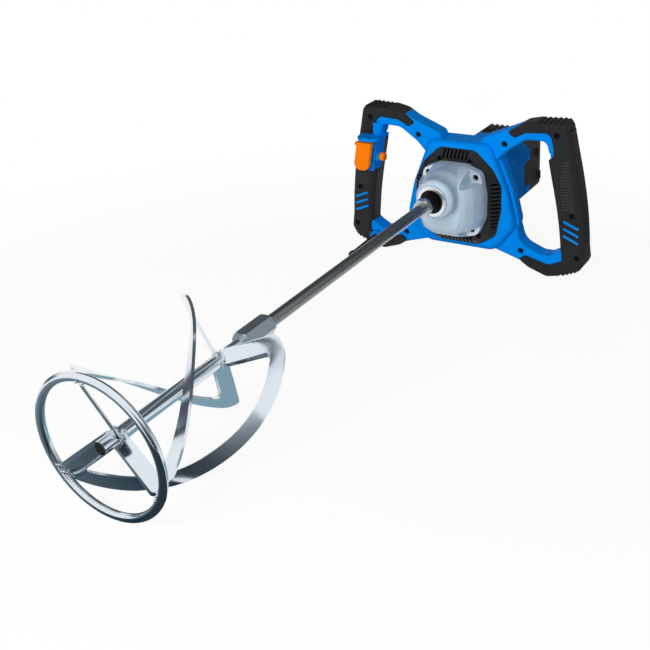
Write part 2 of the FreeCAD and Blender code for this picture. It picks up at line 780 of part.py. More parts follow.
def armature_shaft():
    away = math.atan2(counter_z - motor_z, counter_x)
    pinion = gear(fast_pinion_teeth, fast_module, shift_share, pinion_tip_share, pinion_root_share,
                  fast_gear_front, fast_gear_back, 0, 0, away)
    core = fast_module * (fast_pinion_teeth / 2 - pinion_root_share)
    back = barrel_end + rear_motor_bearing_width
    shaft = turned([(0, fast_gear_front), (core, fast_gear_front), (core, fast_gear_back + gear_step),
                    (front_journal_radius, fast_gear_back + gear_step), (front_journal_radius, plate_back),
                    (shaft_radius, plate_back), (shaft_radius, barrel_end),
                    (rear_journal_radius, barrel_end), (rear_journal_radius, back), (0, back)])
    return joined([shaft, pinion]).translated(Vec(0, 0, motor_z))


def armature_core():
    core = sleeve(armature_radius, shaft_radius, field_front, field_back)
    slot_bottom = armature_radius - armature_slot_depth
    cuts = []
    for i in range(armature_slots):
        slot = block((slot_bottom, field_front - overrun, -armature_slot_width / 2),
                     (armature_radius + overrun, field_back + overrun, armature_slot_width / 2))
        cuts.append(slot.rotated(ORIGIN, Y_AXIS, 360 * i / armature_slots))
    return core.cut(cuts).translated(Vec(0, 0, motor_z))


def commutator():
    return sleeve(commutator_radius, shaft_radius, commutator_front, commutator_back, 0, motor_z)


def cooling_fan():
    pieces = [sleeve(fan_hub_radius, shaft_radius, fan_front, fan_back),
              sleeve(fan_radius, shaft_radius, fan_back - fan_disc, fan_back)]
    for i in range(fan_blades):
        vane = block((fan_hub_radius - fan_disc, fan_front, -fan_blade_thickness / 2),
                     (fan_radius - fan_disc, fan_back, fan_blade_thickness / 2))
        pieces.append(vane.rotated(ORIGIN, Y_AXIS, 360 * i / fan_blades))
    return joined(pieces).translated(Vec(0, 0, motor_z))


def armature_front_bearing():
    return sleeve(front_motor_bearing_radius, front_journal_radius + running_gap,
                  plate_back - front_motor_bearing_width, plate_back, 0, motor_z)


def armature_rear_bearing():
    return sleeve(rear_motor_bearing_radius, rear_journal_radius + running_gap,
                  barrel_end, barrel_end + rear_motor_bearing_width, 0, motor_z)


def sector(outer, inner, front, back, start, sweep):
    """Part of a ring round Y, from a start angle measured from +X towards +Z."""
    profile = [Vec(inner, front, 0), Vec(outer, front, 0), Vec(outer, back, 0), Vec(inner, back, 0)]
    face = Part.Face(Part.makePolygon(profile + profile[:1]))
    face.rotate(ORIGIN, Y_AXIS, -start)
    return face.revolve(ORIGIN, Y_AXIS, -sweep)


def field_coil(middle):
    """One wound field coil: two end arcs and two legs that lie in the core's slots."""
    start = middle - coil_half_angle
    front = field_front - coil_overhang
    back = field_back + coil_overhang
    sweep = 2 * coil_half_angle
    ends = [sector(coil_outer_radius, coil_inner_radius, front, field_front, start, sweep),
            sector(coil_outer_radius, coil_inner_radius, field_back, back, start, sweep)]
    legs = [sector(coil_outer_radius, coil_inner_radius, front, back, angle, coil_leg_angle)
            for angle in (start, start + sweep - coil_leg_angle)]
    return joined(ends + legs)


def field_coils():
    coils = [field_coil(middle).translated(Vec(0, 0, motor_z)) for middle in (90, 270)]
    return Part.makeCompound(coils)


def field_core():
    core = sleeve(barrel_bore_radius - fit_gap, armature_radius + air_gap, field_front, field_back)
    cuts = [field_coil(middle) for middle in (90, 270)]
    return core.cut(cuts).translated(Vec(0, 0, motor_z))


def brush_frame(inner, outer, half_depth, half_height):
    """A radial bar through the brush place on each side of the commutator."""
    middle = (commutator_front + commutator_back) / 2
    bars = []
    for side in (-1, 1):
        low_x, high_x = sorted((side * inner, side * outer))
        bars.append(block((low_x, middle - half_depth, motor_z - half_height),
                          (high_x, middle + half_depth, motor_z + half_height)))
    return bars


def brush_holders():
    bore = cylinder(barrel_bore_radius, commutator_front - overrun, barrel_end, 0, motor_z)
    outside = brush_frame(commutator_radius + holder_gap, barrel_half_width,
                          brush_width / 2 + holder_wall, brush_height / 2 + holder_wall)
    inside = brush_frame(commutator_radius, barrel_bore_radius - brush_stop,
                         brush_width / 2, brush_height / 2)
    return Part.makeCompound([out.common(bore).cut(hole) for out, hole in zip(outside, inside)])


def carbon_brushes():
    bars = brush_frame(commutator_radius / 2, barrel_bore_radius - brush_stop,
                       brush_width / 2, brush_height / 2)
    clear = cylinder(commutator_radius + moving_gap, commutator_front - overrun,
                     commutator_back + overrun, 0, motor_z)
    return Part.makeCompound([bar.cut(clear) for bar in bars])


# Housing

drum_outline = symmetric(drum_shares, drum_half_width, drum_low, drum_high)
grille_outline = symmetric(grille_shares, grille_half_width, grille_low, grille_high)
barrel_outline = symmetric(barrel_shares, barrel_half_width, barrel_low, barrel_high)
grille_screw_places = [(side * x * grille_half_width, grille_low + z * (grille_high - grille_low))
                       for x, z in grille_screw_shares for side in (-1, 1)]
cap_screw_places = [(side * x * barrel_half_width, barrel_low + z * (barrel_high - barrel_low))
                    for x, z in cap_screw_shares for side in (-1, 1)]


def cap_pads():
    """Side tongues of the rear cap, which lie in recesses of the barrel."""
    pads = []
    for side in (-1, 1):
        inner = side * (barrel_half_width - barrel_ledge_depth)
        low_x, high_x = sorted((inner, side * barrel_half_width))
        pads.append(block((low_x, barrel_back - cap_pad_length, cap_pad_low),
                          (high_x, barrel_back, cap_pad_high)))
    return pads


def vent_slots(front, back):
    """Air slots over the four sides of the grille, cut from front to back."""
    middle = grille_low + side_slot_centre_share * (grille_high - grille_low)
    slots = []
    for count, low, high in ((top_slots, cover_high + slot_rim, grille_high + overrun),
                             (bottom_slots, grille_low - overrun, cover_low - bottom_slot_rim)):
        for i in range(count):
            x = (i - (count - 1) / 2) * slot_pitch
            slots.append(block((x - slot_width / 2, front, low), (x + slot_width / 2, back, high)))
    for i in range(side_slots):
        z = middle + (i - (side_slots - 1) / 2) * slot_pitch
        for side in (-1, 1):
            inner = side * (cover_half_width + slot_rim)
            low_x, high_x = sorted((inner, side * (grille_half_width + overrun)))
            slots.append(block((low_x, front, z - slot_width / 2), (high_x, back, z + slot_width / 2)))
    return slots


def front_grille():
    """Bevelled frame round the gearbox, with air slots on its four sides."""
    front_edge = grille_front + grille_bevel
    body = prism(grille_outline, front_edge, recess_floor)
    small = rounded_wire(grille_outline, on_floor_plan(grille_front)).makeOffset2D(-grille_bevel)
    large = rounded_wire(grille_outline, on_floor_plan(front_edge))
    slope = Part.makeLoft([large, small], True, True)
    frame = joined([body, slope])
    inside = grown(grille_outline, grille_front - overrun, recess_floor + overrun, -slot_edge)
    slots = [slot.common(inside) for slot in vent_slots(grille_front - overrun, recess_floor + overrun)]
    slots += vent_slots(grille_front - overrun, front_edge)
    cuts = [grown(cover_outline, grille_front - overrun, recess_floor + overrun, fit_gap)] + slots
    for x, z in grille_screw_places:
        cuts.append(cylinder(grille_screw_radius + fit_gap, grille_front - overrun,
                             grille_front + grille_screw_sink + grille_screw_head, x, z))
        cuts.append(cylinder(grille_screw_core, grille_front, recess_floor + overrun, x, z))
    return frame.cut(cuts)


def grille_screws():
    screws = []
    head_front = grille_front + grille_screw_sink
    for x, z in grille_screw_places:
        head = cylinder(grille_screw_radius, head_front, head_front + grille_screw_head, x, z)
        shank = cylinder(grille_screw_core, head_front, head_front + grille_screw_length, x, z)
        slot = block((x - grille_screw_radius, head_front - overrun, z - driver_slot / 2),
                     (x + grille_screw_radius, head_front + grille_screw_head / 2, z + driver_slot / 2))
        screws.append(joined([head, shank]).cut(slot))
    return Part.makeCompound(screws)


def motor_housing():
    """Blue moulding: bezel and drum in front, barrel behind, open inside for gear plate and motor."""
    drum = rounded_rim(prism(drum_outline, drum_front, drum_back), drum_front, bezel_round)
    barrel = prism(barrel_outline, drum_back - drum_wall, barrel_back)
    shell = joined([drum, barrel])
    window = grown(grille_outline, recess_floor - overrun, front_wall_back + overrun, -drum_wall)
    plate_seat = grown(cover_outline, recess_floor - overrun, front_wall_back + overrun, drum_wall)
    vents = [slot.common(window).cut(plate_seat)
             for slot in vent_slots(recess_floor - overrun, front_wall_back + overrun)]
    cuts = [grown(grille_outline, drum_front - overrun, recess_floor, fit_gap),
            grown(cover_outline, drum_front, plate_back, fit_gap),
            grown(drum_outline, front_wall_back, drum_back - drum_wall, -drum_wall),
            cylinder(barrel_bore_radius, plate_back - overrun, barrel_end, 0, motor_z),
            cylinder(rear_motor_bearing_radius, barrel_end - overrun,
                     barrel_end + rear_motor_bearing_width, 0, motor_z),
            cylinder(rear_journal_radius + needle_wall, barrel_end, barrel_back + overrun, 0, motor_z)]
    cuts += vents + cap_pads()
    for x, z in grille_screw_places:
        end = grille_front + grille_screw_sink + grille_screw_length
        cuts.append(cylinder(grille_screw_core, recess_floor - overrun, end, x, z))
    for x, z in cap_screw_places:
        cuts.append(cylinder(cap_screw_radius, barrel_back - cap_screw_reach, barrel_back + overrun, x, z))
    return shell.cut(cuts)


def rear_cap():
    """Black end cap: hollow cup with screw posts, air slots, ribbed top and two side tongues."""
    cup = rounded_rim(prism(barrel_outline, barrel_back, cap_back), cap_back, cap_round)
    room = grown(barrel_outline, barrel_back - overrun, cap_back - cap_wall, -cap_wall)
    posts = [cylinder(cap_post_radius, barrel_back, cap_back - cap_wall, x, z) for x, z in cap_screw_places]
    cap = joined([cup.cut(room)] + [post.common(cup) for post in posts] + cap_pads())
    cuts = []
    first = barrel_back + cap_rib_pitch
    for i in range(cap_rib_count):
        y = first + cap_rib_pitch * i
        for z in (barrel_high, barrel_low):
            start = Vec(-barrel_half_width, y, z)
            cuts.append(Part.makeCylinder(cap_groove_radius, 2 * barrel_half_width, start, X_AXIS))
    for i in range(cap_vent_count):
        z = motor_z + (i - (cap_vent_count - 1) / 2) * cap_vent_pitch
        cuts.append(block((-cap_vent_length / 2, cap_back - cap_wall - overrun, z - cap_vent_width / 2),
                          (cap_vent_length / 2, cap_back + overrun, z + cap_vent_width / 2)))
    for x, z in cap_screw_places:
        cuts.append(cylinder(cap_screw_head_radius + fit_gap, cap_back - cap_screw_sink,
                             cap_back + overrun, x, z))
        cuts.append(cylinder(cap_screw_radius, barrel_back - overrun, cap_back, x, z))
    return cap.cut(cuts)


def cap_screws():
    screws = []
    seat = cap_back - cap_screw_sink
    for x, z in cap_screw_places:
        head = cylinder(cap_screw_head_radius, seat, seat + cap_screw_head, x, z)
        shank = cylinder(cap_screw_radius, barrel_back - cap_screw_reach, seat, x, z)
        slot = block((x - cap_screw_head_radius, seat + cap_screw_head / 2, z - driver_slot / 2),
                     (x + cap_screw_head_radius, seat + cap_screw_head + overrun, z + driver_slot / 2))
        screws.append(joined([head, shank]).cut(slot))
    return Part.makeCompound(screws)


# Handles, modelled on the right and mirrored to the left

def handle_point(share):
    return share[0] * handle_half_span, handle_low + share[1] * handle_height


def handle_outline(shares):
    return [(*handle_point(share), share[2] * handle_half_span) for share in shares]


def handle_bar(shares, depth, rounding):
    """Moulded bar of one depth, centred on the parting plane, with rounded rims."""
    front = handle_plane - depth / 2
    back = handle_plane + depth / 2
    bar = prism(handle_outline(shares), front, back)
    return rounded_rim(rounded_rim(bar, front, rounding), back, rounding)


def grip_bar(inset, end_inset):
    """Rounded bar along the slanted, slightly bowed grip, smaller all round by an inset."""
    sections = []
    for i, share in enumerate(grip_shares):
        x, z = handle_point(share)
        if i == 0:
            z = z - end_inset
        if i == len(grip_shares) - 1:
            z = z + end_inset
        wide = grip_half_width * share[2] - inset
        deep = grip_half_depth * share[2] - inset
        rounding = max(grip_round * share[2] - inset, fit_gap)
        front = handle_plane - deep
        back = handle_plane + deep
        corners = [(x - wide, front, rounding), (x + wide, front, rounding), (x + wide, back, rounding),
                   (x - wide, back, rounding)]
        sections.append(rounded_wire(corners, at_height(z)))
    return Part.makeLoft(sections, True, False)


def grooves(shares):
    """Round grooves across a bumper, from one end of a row to the other."""
    (x0, z0), (x1, z1) = handle_point(shares[0]), handle_point(shares[1])
    row = []
    for i in range(groove_count):
        share = (i + 0.5) / groove_count
        row.append(cylinder(groove_radius, bumper_front - overrun, bumper_front + bumper_depth + overrun,
                            x0 + (x1 - x0) * share, z0 + (z1 - z0) * share))
    return row


screw_places = [handle_point(share) for share in handle_screw_shares]


def screw_head_seat(index):
    """Front of a handle screw's head: sunk below the arm's face or the grip's face."""
    front = arm_front if index < arm_screws else handle_plane - grip_half_depth
    return front + handle_screw_sink


def handle_shapes():
    """Blue frame and black cover of the right handle, each still in one piece."""
    bumpers = [handle_bar(shares, bumper_depth, bumper_round)
               for shares in (top_bumper_shares, low_bumper_shares)]
    core = grip_bar(grip_skin, core_end)
    room = grip_bar(grip_skin + handle_wall, core_end + handle_wall)
    drum = prism(drum_outline, drum_front, drum_back + overrun)
    arms = [handle_bar(shares, arm_depth, arm_round).cut(bumpers + [drum])
            for shares in (upper_arm_shares, lower_arm_shares)]
    bosses = [cylinder(screw_boss_radius, arm_front - arm_depth, arm_front + 2 * arm_depth, x, z)
              for x, z in screw_places[arm_screws:]]
    frame = joined([core] + arms).cut(room.cut(bosses))
    notch = prism(handle_outline(notch_shares), arm_front - arm_depth, arm_front + 2 * arm_depth)
    skin = joined(bumpers + [grip_bar(0, 0).cut(notch)])
    skin = skin.cut(grooves(top_groove_shares) + grooves(low_groove_shares))
    cover = skin.cut([core] + arms)
    return frame, cover


def screw_cuts():
    cuts = []
    for i, (x, z) in enumerate(screw_places):
        seat = screw_head_seat(i)
        front = handle_plane - 2 * grip_half_depth
        cuts.append(cylinder(handle_screw_hole, front, seat + handle_screw_head, x, z))
        cuts.append(cylinder(handle_screw_radius, seat, handle_plane + handle_screw_reach, x, z))
    return cuts


def handle_screws():
    screws = []
    for i, (x, z) in enumerate(screw_places):
        seat = screw_head_seat(i)
        head = cylinder(handle_screw_head_radius, seat, seat + handle_screw_head, x, z)
        shank = cylinder(handle_screw_radius, seat, handle_plane + handle_screw_reach, x, z)
        socket = cylinder(handle_screw_radius, seat - overrun, seat + handle_screw_head / 2, x, z)
        screws.append(joined([head, shank]).cut(socket))
    return Part.makeCompound(screws + [mirrored(screw) for screw in screws])


def front_half(shape):
    reach = handle_half_span + grip_half_width
    return shape.common(block((-reach, -reach, -reach), (reach, handle_plane, reach)))


def rear_half(shape):
    reach = handle_half_span + grip_half_width
    return shape.common(block((-reach, handle_plane, -reach), (reach, reach, reach)))


def grip_inlays():
    """Slanted bars let into the front of the grip."""
    skin = grip_bar(0, 0).cut(grip_bar(inlay_depth, 0))
    bars = []
    for i in range(inlay_count):
        z = handle_low + (inlay_share - inlay_pitch_share * i) * handle_height
        x = handle_point(grip_shares[-2])[0]
        reach = grip_half_width * inlay_reach_share
        back = handle_plane - grip_half_depth / 2
        bar = block((-reach, 0, -inlay_width / 2), (reach, back, inlay_width / 2))
        bar.rotate(ORIGIN, Y_AXIS, inlay_slope)
        bars.append(bar.translated(Vec(x, 0, z)).common(skin))
    return Part.makeCompound(bars)


# Trigger group, on the left

def grip_centre(z):
    """Middle of the right grip at a height, across."""
    share = (z - handle_low) / handle_height
    for high, low in zip(grip_shares, grip_shares[1:]):
        if share >= low[1]:
            break
    mix = (share - low[1]) / (high[1] - low[1])
    return (low[0] + (high[0] - low[0]) * mix) * handle_half_span


def trigger_middle(z):
    """Middle of the trigger at a height, across; it follows the grip's slant."""
    return trigger_inset - grip_centre(z)


trigger_x = trigger_middle((trigger_low + trigger_high) / 2)
guard_high = trigger_high + moving_gap + trigger_lip
housing_high = guard_high + hood_thickness


def slanted(left, right, low, high, corner):
    """Outline that follows the trigger's slant between two heights, its lower corners rounded."""
    return [(trigger_middle(high) + right, high, 0), (trigger_middle(low) + right, low, corner),
            (trigger_middle(low) - left, low, corner), (trigger_middle(high) - left, high, 0)]


def across(radius, y, z, left, right):
    """Cylinder along X, past the trigger's middle by a length on each side."""
    return Part.makeCylinder(radius, left + right, Vec(trigger_x - left, y, z), X_AXIS)


def trigger():
    """Finger plate with a rounded lower end and a ledge on top, on a lever with its pivot eye."""
    back = trigger_front + trigger_plate
    half = trigger_width / 2
    end = half * trigger_end_share
    plate = prism(slanted(half, half, trigger_low, trigger_high, end), trigger_front, back)
    plate = rounded_rim(plate, trigger_front, trigger_round)
    wide = half + trigger_ledge_reach
    ledge = prism(slanted(wide, half, trigger_high - trigger_ledge, trigger_high, trigger_round),
                  trigger_front - trigger_ledge_reach, back - trigger_round)
    slim = trigger_lever_width / 2
    lever = block((trigger_x - slim, back - overrun, trigger_lever_low),
                  (trigger_x + slim, back + trigger_lever_depth, pivot_height))
    eye = across(pivot_eye_radius, pivot_back, pivot_height, slim, slim)
    hole = across(pivot_radius + running_gap, pivot_back, pivot_height, trigger_width, trigger_width)
    return joined([plate, ledge, lever, eye]).cut(hole)


def trigger_pin():
    return across(pivot_radius, pivot_back, pivot_height, guard_outside - pivot_radius,
                  guard_inside - pivot_radius)


def trigger_room():
    """Space that the trigger's lever needs over its whole travel."""
    back = trigger_front + trigger_plate
    slim = trigger_lever_width / 2 + moving_gap
    swing = (pivot_height - trigger_lever_low) * math.sin(trigger_swing)
    return block((trigger_x - slim, back, trigger_lever_low - trigger_lever_slack),
                 (trigger_x + slim, back + trigger_lever_depth + swing + moving_gap,
                  pivot_height + pivot_eye_radius + moving_gap))


def button_place():
    """Inner face of the left grip beside the lock button."""
    return grip_half_width - grip_centre(button_height)


def button_bar(radius, x, length):
    """Cylinder along X on the lock button's axis."""
    return Part.makeCylinder(radius, length, Vec(x, button_back, button_height), X_AXIS)


def lock_button():
    """Round cap on a stem; it slides along X into the boss."""
    face = button_place() + button_boss_reach
    head = button_bar(button_radius, face - fit_gap, button_reach)
    stem = button_bar(button_stem_radius, face - button_stem, button_stem)
    knob = joined([head, stem])
    rim = [edge for edge in knob.Edges if edge.BoundBox.XMin > face + button_reach / 2]
    return knob.makeFillet(button_round, [edge for edge in rim if len(edge.Vertexes) == 1])


def button_room():
    face = button_place() + button_boss_reach
    low = face - button_stem - button_travel - moving_gap
    head_low = face - button_travel - moving_gap
    head_room = button_bar(button_radius + running_gap, head_low, face + button_reach - head_low)
    stem_room = button_bar(button_stem_radius + running_gap, low, face - low)
    return joined([head_room, stem_room])


def housing_region():
    """The part of the left grip's front half that belongs to the trigger housing."""
    low = handle_low + housing_low_share * handle_height
    high = handle_low + housing_high_share * handle_height
    guard = prism(slanted(guard_outside, handle_half_span, guard_low, housing_high, 0), 0, handle_plane)
    inner = block((-housing_edge_share * handle_half_span, 0, low), (0, handle_plane, high))
    return joined([guard, inner])


def trigger_housing(core):
    """Blue guard behind the trigger with its hood, and the inner grip face with the button's boss."""
    shell = mirrored(grip_bar(0, 0)).common(housing_region())
    guard = prism(slanted(guard_outside, guard_inside, guard_low, guard_high, 0), guard_front, handle_plane)
    middle = trigger_middle(guard_high) + hood_inset
    left = middle - hood_half_width
    right = middle + hood_half_width
    end = hood_half_width * hood_round_share
    corners = [(left, handle_plane, 0), (left, hood_front, end),
               (right, hood_front, end), (right, handle_plane, 0)]
    hood_face = Part.Face(rounded_wire(corners, at_height(guard_high)))
    hood = hood_face.extrude(Vec(0, 0, hood_thickness))
    boss_root = grip_half_width / 2
    boss = button_bar(button_boss_radius, button_place() - boss_root, boss_root + button_boss_reach)
    whole = joined([shell, guard, hood, front_half(boss)])
    return whole.cut([core, trigger_room(), button_room(), trigger_pin()])


def switch_body():
    room = mirrored(grip_bar(grip_skin + handle_wall + fit_gap, core_end))
    reach = handle_half_span + grip_half_width
    return room.common(block((-reach, switch_front, switch_low), (0, reach, switch_high)))


# Cord boot

def cord_boot():
    """Tapered sleeve with a flange held in the handle and a bead at its free end."""
    flange_front = collar_back - boot_flange
    bead_back = boot_end + boot_bead
    return turned([(boot_bore_radius, boot_end, 0), (boot_bead_radius, boot_end, boot_bead_round),
                   (boot_bead_radius, bead_back, boot_bead_round), (boot_end_radius, bead_back, 0),
                   (boot_root_radius, collar_front, 0), (boot_root_radius, flange_front, 0),
                   (boot_flange_radius, flange_front, 0), (boot_flange_radius, collar_back, 0),
                   (boot_bore_radius, collar_back, 0)], boot_x, boot_z)


def boot_collar():
    return cylinder(collar_radius, collar_front, handle_plane, boot_x, boot_z)


def boot_room():
    return joined([cylinder(boot_root_radius, collar_front - overrun, handle_plane, boot_x, boot_z),
                   cylinder(boot_flange_radius, collar_back - boot_flange, collar_back, boot_x, boot_z)])


def handles():
    """Both handles, cut at the parting plane, with the left one fitted for trigger and cord."""
    frame, cover = handle_shapes()
    cuts = screw_cuts()
    inlays = grip_inlays().cut(cuts)
    pieces = {
        "right_handle_front": front_half(frame).cut(cuts),
        "right_handle_rear": rear_half(frame).cut(cuts),
        "right_grip_front": front_half(cover).cut(cuts + [inlays]),
        "right_grip_rear": rear_half(cover).cut(cuts),
        "right_grip_inlays": inlays,
    }
    for name in list(pieces):
        pieces[name.replace("right", "left")] = mirrored(pieces[name])
    core = mirrored(grip_bar(grip_skin, core_end))
    housing = trigger_housing(core)
    collar = boot_collar()
    rooms = [boot_room(), trigger_room(), button_room()]
    left_front = joined([pieces["left_handle_front"], collar]).cut(rooms)
    pieces["left_handle_front"] = left_front.cut(housing)
    pieces["left_grip_front"] = pieces["left_grip_front"].cut([housing_region(), collar]).cut(housing)
    pieces["trigger_housing"] = housing
    return pieces


def all_pieces():
    pieces = {
        "motor_housing": motor_housing(),
        "front_grille": front_grille(),
        "gearbox_cover": gearbox_cover(),
        "gear_plate": gear_plate(),
        "rear_cap": rear_cap(),
        "cover_screws": cover_screws(),
        "grille_screws": grille_screws(),
        "cap_screws": cap_screws(),
        "handle_screws": handle_screws(),
        "trigger": trigger(),
        "trigger_pin": trigger_pin(),
        "lock_button": lock_button(),
        "switch_body": switch_body(),
        "cord_boot": cord_boot(),
        "spindle_seal": spindle_seal(),
        "spindle_front_bearing": spindle_front_bearing(),
        "spindle_rear_bearing": spindle_rear_bearing(),
        "countershaft_bearings": countershaft_bearings(),
        "armature_front_bearing": armature_front_bearing(),
        "armature_rear_bearing": armature_rear_bearing(),
        "field_core": field_core(),
        "field_coils": field_coils(),
        "brush_holders": brush_holders(),
        "carbon_brushes": carbon_brushes(),
        "armature_shaft": armature_shaft(),
        "armature_core": armature_core(),
        "commutator": commutator(),
        "cooling_fan": cooling_fan(),
        "countershaft": countershaft(),
        "intermediate_gear": intermediate_gear(),
        "spindle": spindle(),
        "output_gear": output_gear(),
        "jam_nut": jam_nut(),
        "drive_rod": drive_rod(),
        "rod_coupling": rod_coupling(),
        "paddle_shaft": paddle_shaft(),
        "paddle_ring": paddle_ring(),
    }
    for index in range(blade_count):
        pieces[f"blade_{index + 1}"] = blade(index)
    pieces.update(handles())
    return pieces


def resting_tilt():
    """Angle that brings the lower bumpers and the paddle ring onto one floor."""
    rise = (-ring_radius) - (handle_low + bumper_round)
    run = bumper_front + bumper_round - paddle_tip
    slope = math.atan2(rise, run)
    lean = math.asin((ring_bar_radius - bumper_round) / math.hypot(rise, run))
    return math.degrees(slope - lean)


def lay_down(pieces):
    """Tilt the tool onto its bumpers and ring, with the origin under the middle of its box."""
    tilt = resting_tilt()
    laid = {name: shape.rotated(ORIGIN, X_AXIS, tilt) for name, shape in pieces.items()}
    ring_box = laid["paddle_ring"].optimalBoundingBox(False)
    cap_box = laid["rear_cap"].optimalBoundingBox(False)
    shift = Vec(0, -(ring_box.YMin + cap_box.YMax) / 2, -ring_box.ZMin)
    print("tilt", tilt, "shift", shift.y, shift.z)
    return {name: shape.translated(shift) for name, shape in laid.items()}


for node, shape in lay_down(all_pieces()).items():
    shape.exportStep(f"parts/{node}.step")
    solids = len(shape.Solids)
    print(node, "solids", solids, "volume", round(shape.Volume), "valid", shape.isValid())
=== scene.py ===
import json
import math
import random

import bmesh
import bpy
from mathutils import Matrix, Vector


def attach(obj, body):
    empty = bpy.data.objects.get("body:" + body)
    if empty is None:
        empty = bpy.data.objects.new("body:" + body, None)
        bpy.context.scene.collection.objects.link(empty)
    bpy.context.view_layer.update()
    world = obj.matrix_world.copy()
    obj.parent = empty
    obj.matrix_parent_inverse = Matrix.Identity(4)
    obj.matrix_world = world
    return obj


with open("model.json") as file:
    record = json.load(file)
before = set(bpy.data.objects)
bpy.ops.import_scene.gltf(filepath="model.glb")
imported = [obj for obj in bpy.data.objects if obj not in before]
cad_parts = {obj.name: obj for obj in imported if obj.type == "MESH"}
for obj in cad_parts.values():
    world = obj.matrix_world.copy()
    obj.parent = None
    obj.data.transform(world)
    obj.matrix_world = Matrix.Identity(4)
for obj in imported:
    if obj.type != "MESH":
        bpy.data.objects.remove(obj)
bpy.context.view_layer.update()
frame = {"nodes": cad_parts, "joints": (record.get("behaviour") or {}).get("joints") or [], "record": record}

mm = 0.001
nodes = frame["nodes"]
slotOf = {entry["node"]: entry["material_slot"] for entry in frame["record"]["subparts"]}
jointOf = {joint["name"]: joint for joint in frame["joints"]}
spindleFoot = Vector(jointOf["spindle_spin"]["pos_m"])    # middle of the nose face
spindleAxis = Vector(jointOf["spindle_spin"]["axis"]).normalized()
spindleTilt = math.atan2(spindleAxis.z, spindleAxis.y)    # the tool lies a little nose down
toolUp = Vector((1, 0, 0)).cross(spindleAxis)
print("frame loaded:", len(nodes), "nodes")


def tool(x, y, z):    # a place in the tool's own frame, in millimetres: y runs back along the spindle
    return spindleFoot + (Vector((x, 0, 0)) + spindleAxis * y + toolUp * z) * mm


class Wire:    # one socket of a node tree; sums of wires add their own Math nodes
    def __init__(self, tree, socket=None):
        self.tree = tree
        self.socket = socket

    def node(self, kind, settings=None, sockets=None, out=0):    # a tuple of outputs gives a list of wires
        made = self.tree.nodes.new(kind)
        for name, value in (settings or {}).items():
            setattr(made, name, value)
        for name, value in (sockets or {}).items():
            if isinstance(value, Wire):
                self.tree.links.new(value.socket, made.inputs[name])
            else:
                made.inputs[name].default_value = value
        if isinstance(out, tuple):
            return [Wire(self.tree, made.outputs[name]) for name in out]
        return Wire(self.tree, made.outputs[out] if made.outputs else None)

    def maths(self, operation, first, second):
        return self.node("ShaderNodeMath", {"operation": operation}, {0: first, 1: second})

    def __add__(self, other):
        return self.maths("ADD", self, other)

    def __radd__(self, other):
        return self.maths("ADD", other, self)

    def __sub__(self, other):
        return self.maths("SUBTRACT", self, other)

    def __rsub__(self, other):
        return self.maths("SUBTRACT", other, self)

    def __mul__(self, other):
        return self.maths("MULTIPLY", self, other)

    def __rmul__(self, other):
        return self.maths("MULTIPLY", other, self)

    def __pow__(self, other):
        return self.maths("POWER", self, other)

    def __lt__(self, other):
        return self.maths("LESS_THAN", self, other)


def newFinish(name):
    material = bpy.data.materials.new(name)
    material.use_nodes = True
    material.node_tree.nodes.clear()
    return material, Wire(material.node_tree)


def onTool(wire):    # the point in the tool's own frame, in metres
    point = wire.node("ShaderNodeTexCoord", out="Object")
    settings = {"vector_type": "TEXTURE"}
    places = {"Vector": point, "Location": spindleFoot, "Rotation": (spindleTilt, 0, 0)}
    return wire.node("ShaderNodeMapping", settings, places)


def stretched(point, scale):
    return point.node("ShaderNodeMapping", None, {"Vector": point, "Scale": scale})


def noise(point, scale, detail=3.0, rough=0.5):
    sockets = {"Vector": point, "Scale": scale, "Detail": detail, "Roughness": rough}
    return point.node("ShaderNodeTexNoise", None, sockets, "Fac")


def cells(point, scale):
    return point.node("ShaderNodeTexVoronoi", None, {"Vector": point, "Scale": scale}, "Color")


def grey(colour):
    return colour.node("ShaderNodeRGBToBW", None, {"Color": colour})


def spread(share, low, high):    # a share from 0 to 1, laid between two values
    return share.node("ShaderNodeMapRange", None, {"Value": share, "To Min": low, "To Max": high})


def eased(value, low, high):    # 0 up to low, 1 from high, and a soft rise between them
    sockets = {"Value": value, "From Min": low, "From Max": high}
    return value.node("ShaderNodeMapRange", {"interpolation_type": "SMOOTHSTEP"}, sockets)


def window(value, low, high, soft):    # 1 between low and high, with soft edges
    rise = value.node("ShaderNodeMapRange", None, {"Value": value, "From Min": low - soft, "From Max": low})
    fall = value.node("ShaderNodeMapRange", None, {"Value": value, "From Min": high + soft, "From Max": high})
    return rise * fall


def blend(first, second, share):    # the share of the second, and the rest of the first
    return first * (1 - share) + second * share


def tint(share, first, second):    # a colour Mix has its factor at 0, its colours at 6 and 7
    return share.node("ShaderNodeMix", {"data_type": "RGBA"}, {0: share, 6: (*first, 1), 7: (*second, 1)}, 2)


def tintOver(share, under, colour):
    return share.node("ShaderNodeMix", {"data_type": "RGBA"}, {0: share, 6: under, 7: (*colour, 1)}, 2)


def parted(point):
    return point.node("ShaderNodeSeparateXYZ", None, {0: point}, (0, 1, 2))


def distance(first, second):
    return (first * first + second * second) ** 0.5


def relief(height, strength, depth):
    sockets = {"Height": height, "Strength": strength, "Distance": depth}
    return height.node("ShaderNodeBump", None, sockets, "Normal")


def shown(wire, sockets):
    shader = wire.node("ShaderNodeBsdfPrincipled", None, sockets)
    wire.node("ShaderNodeOutputMaterial", None, {"Surface": shader})


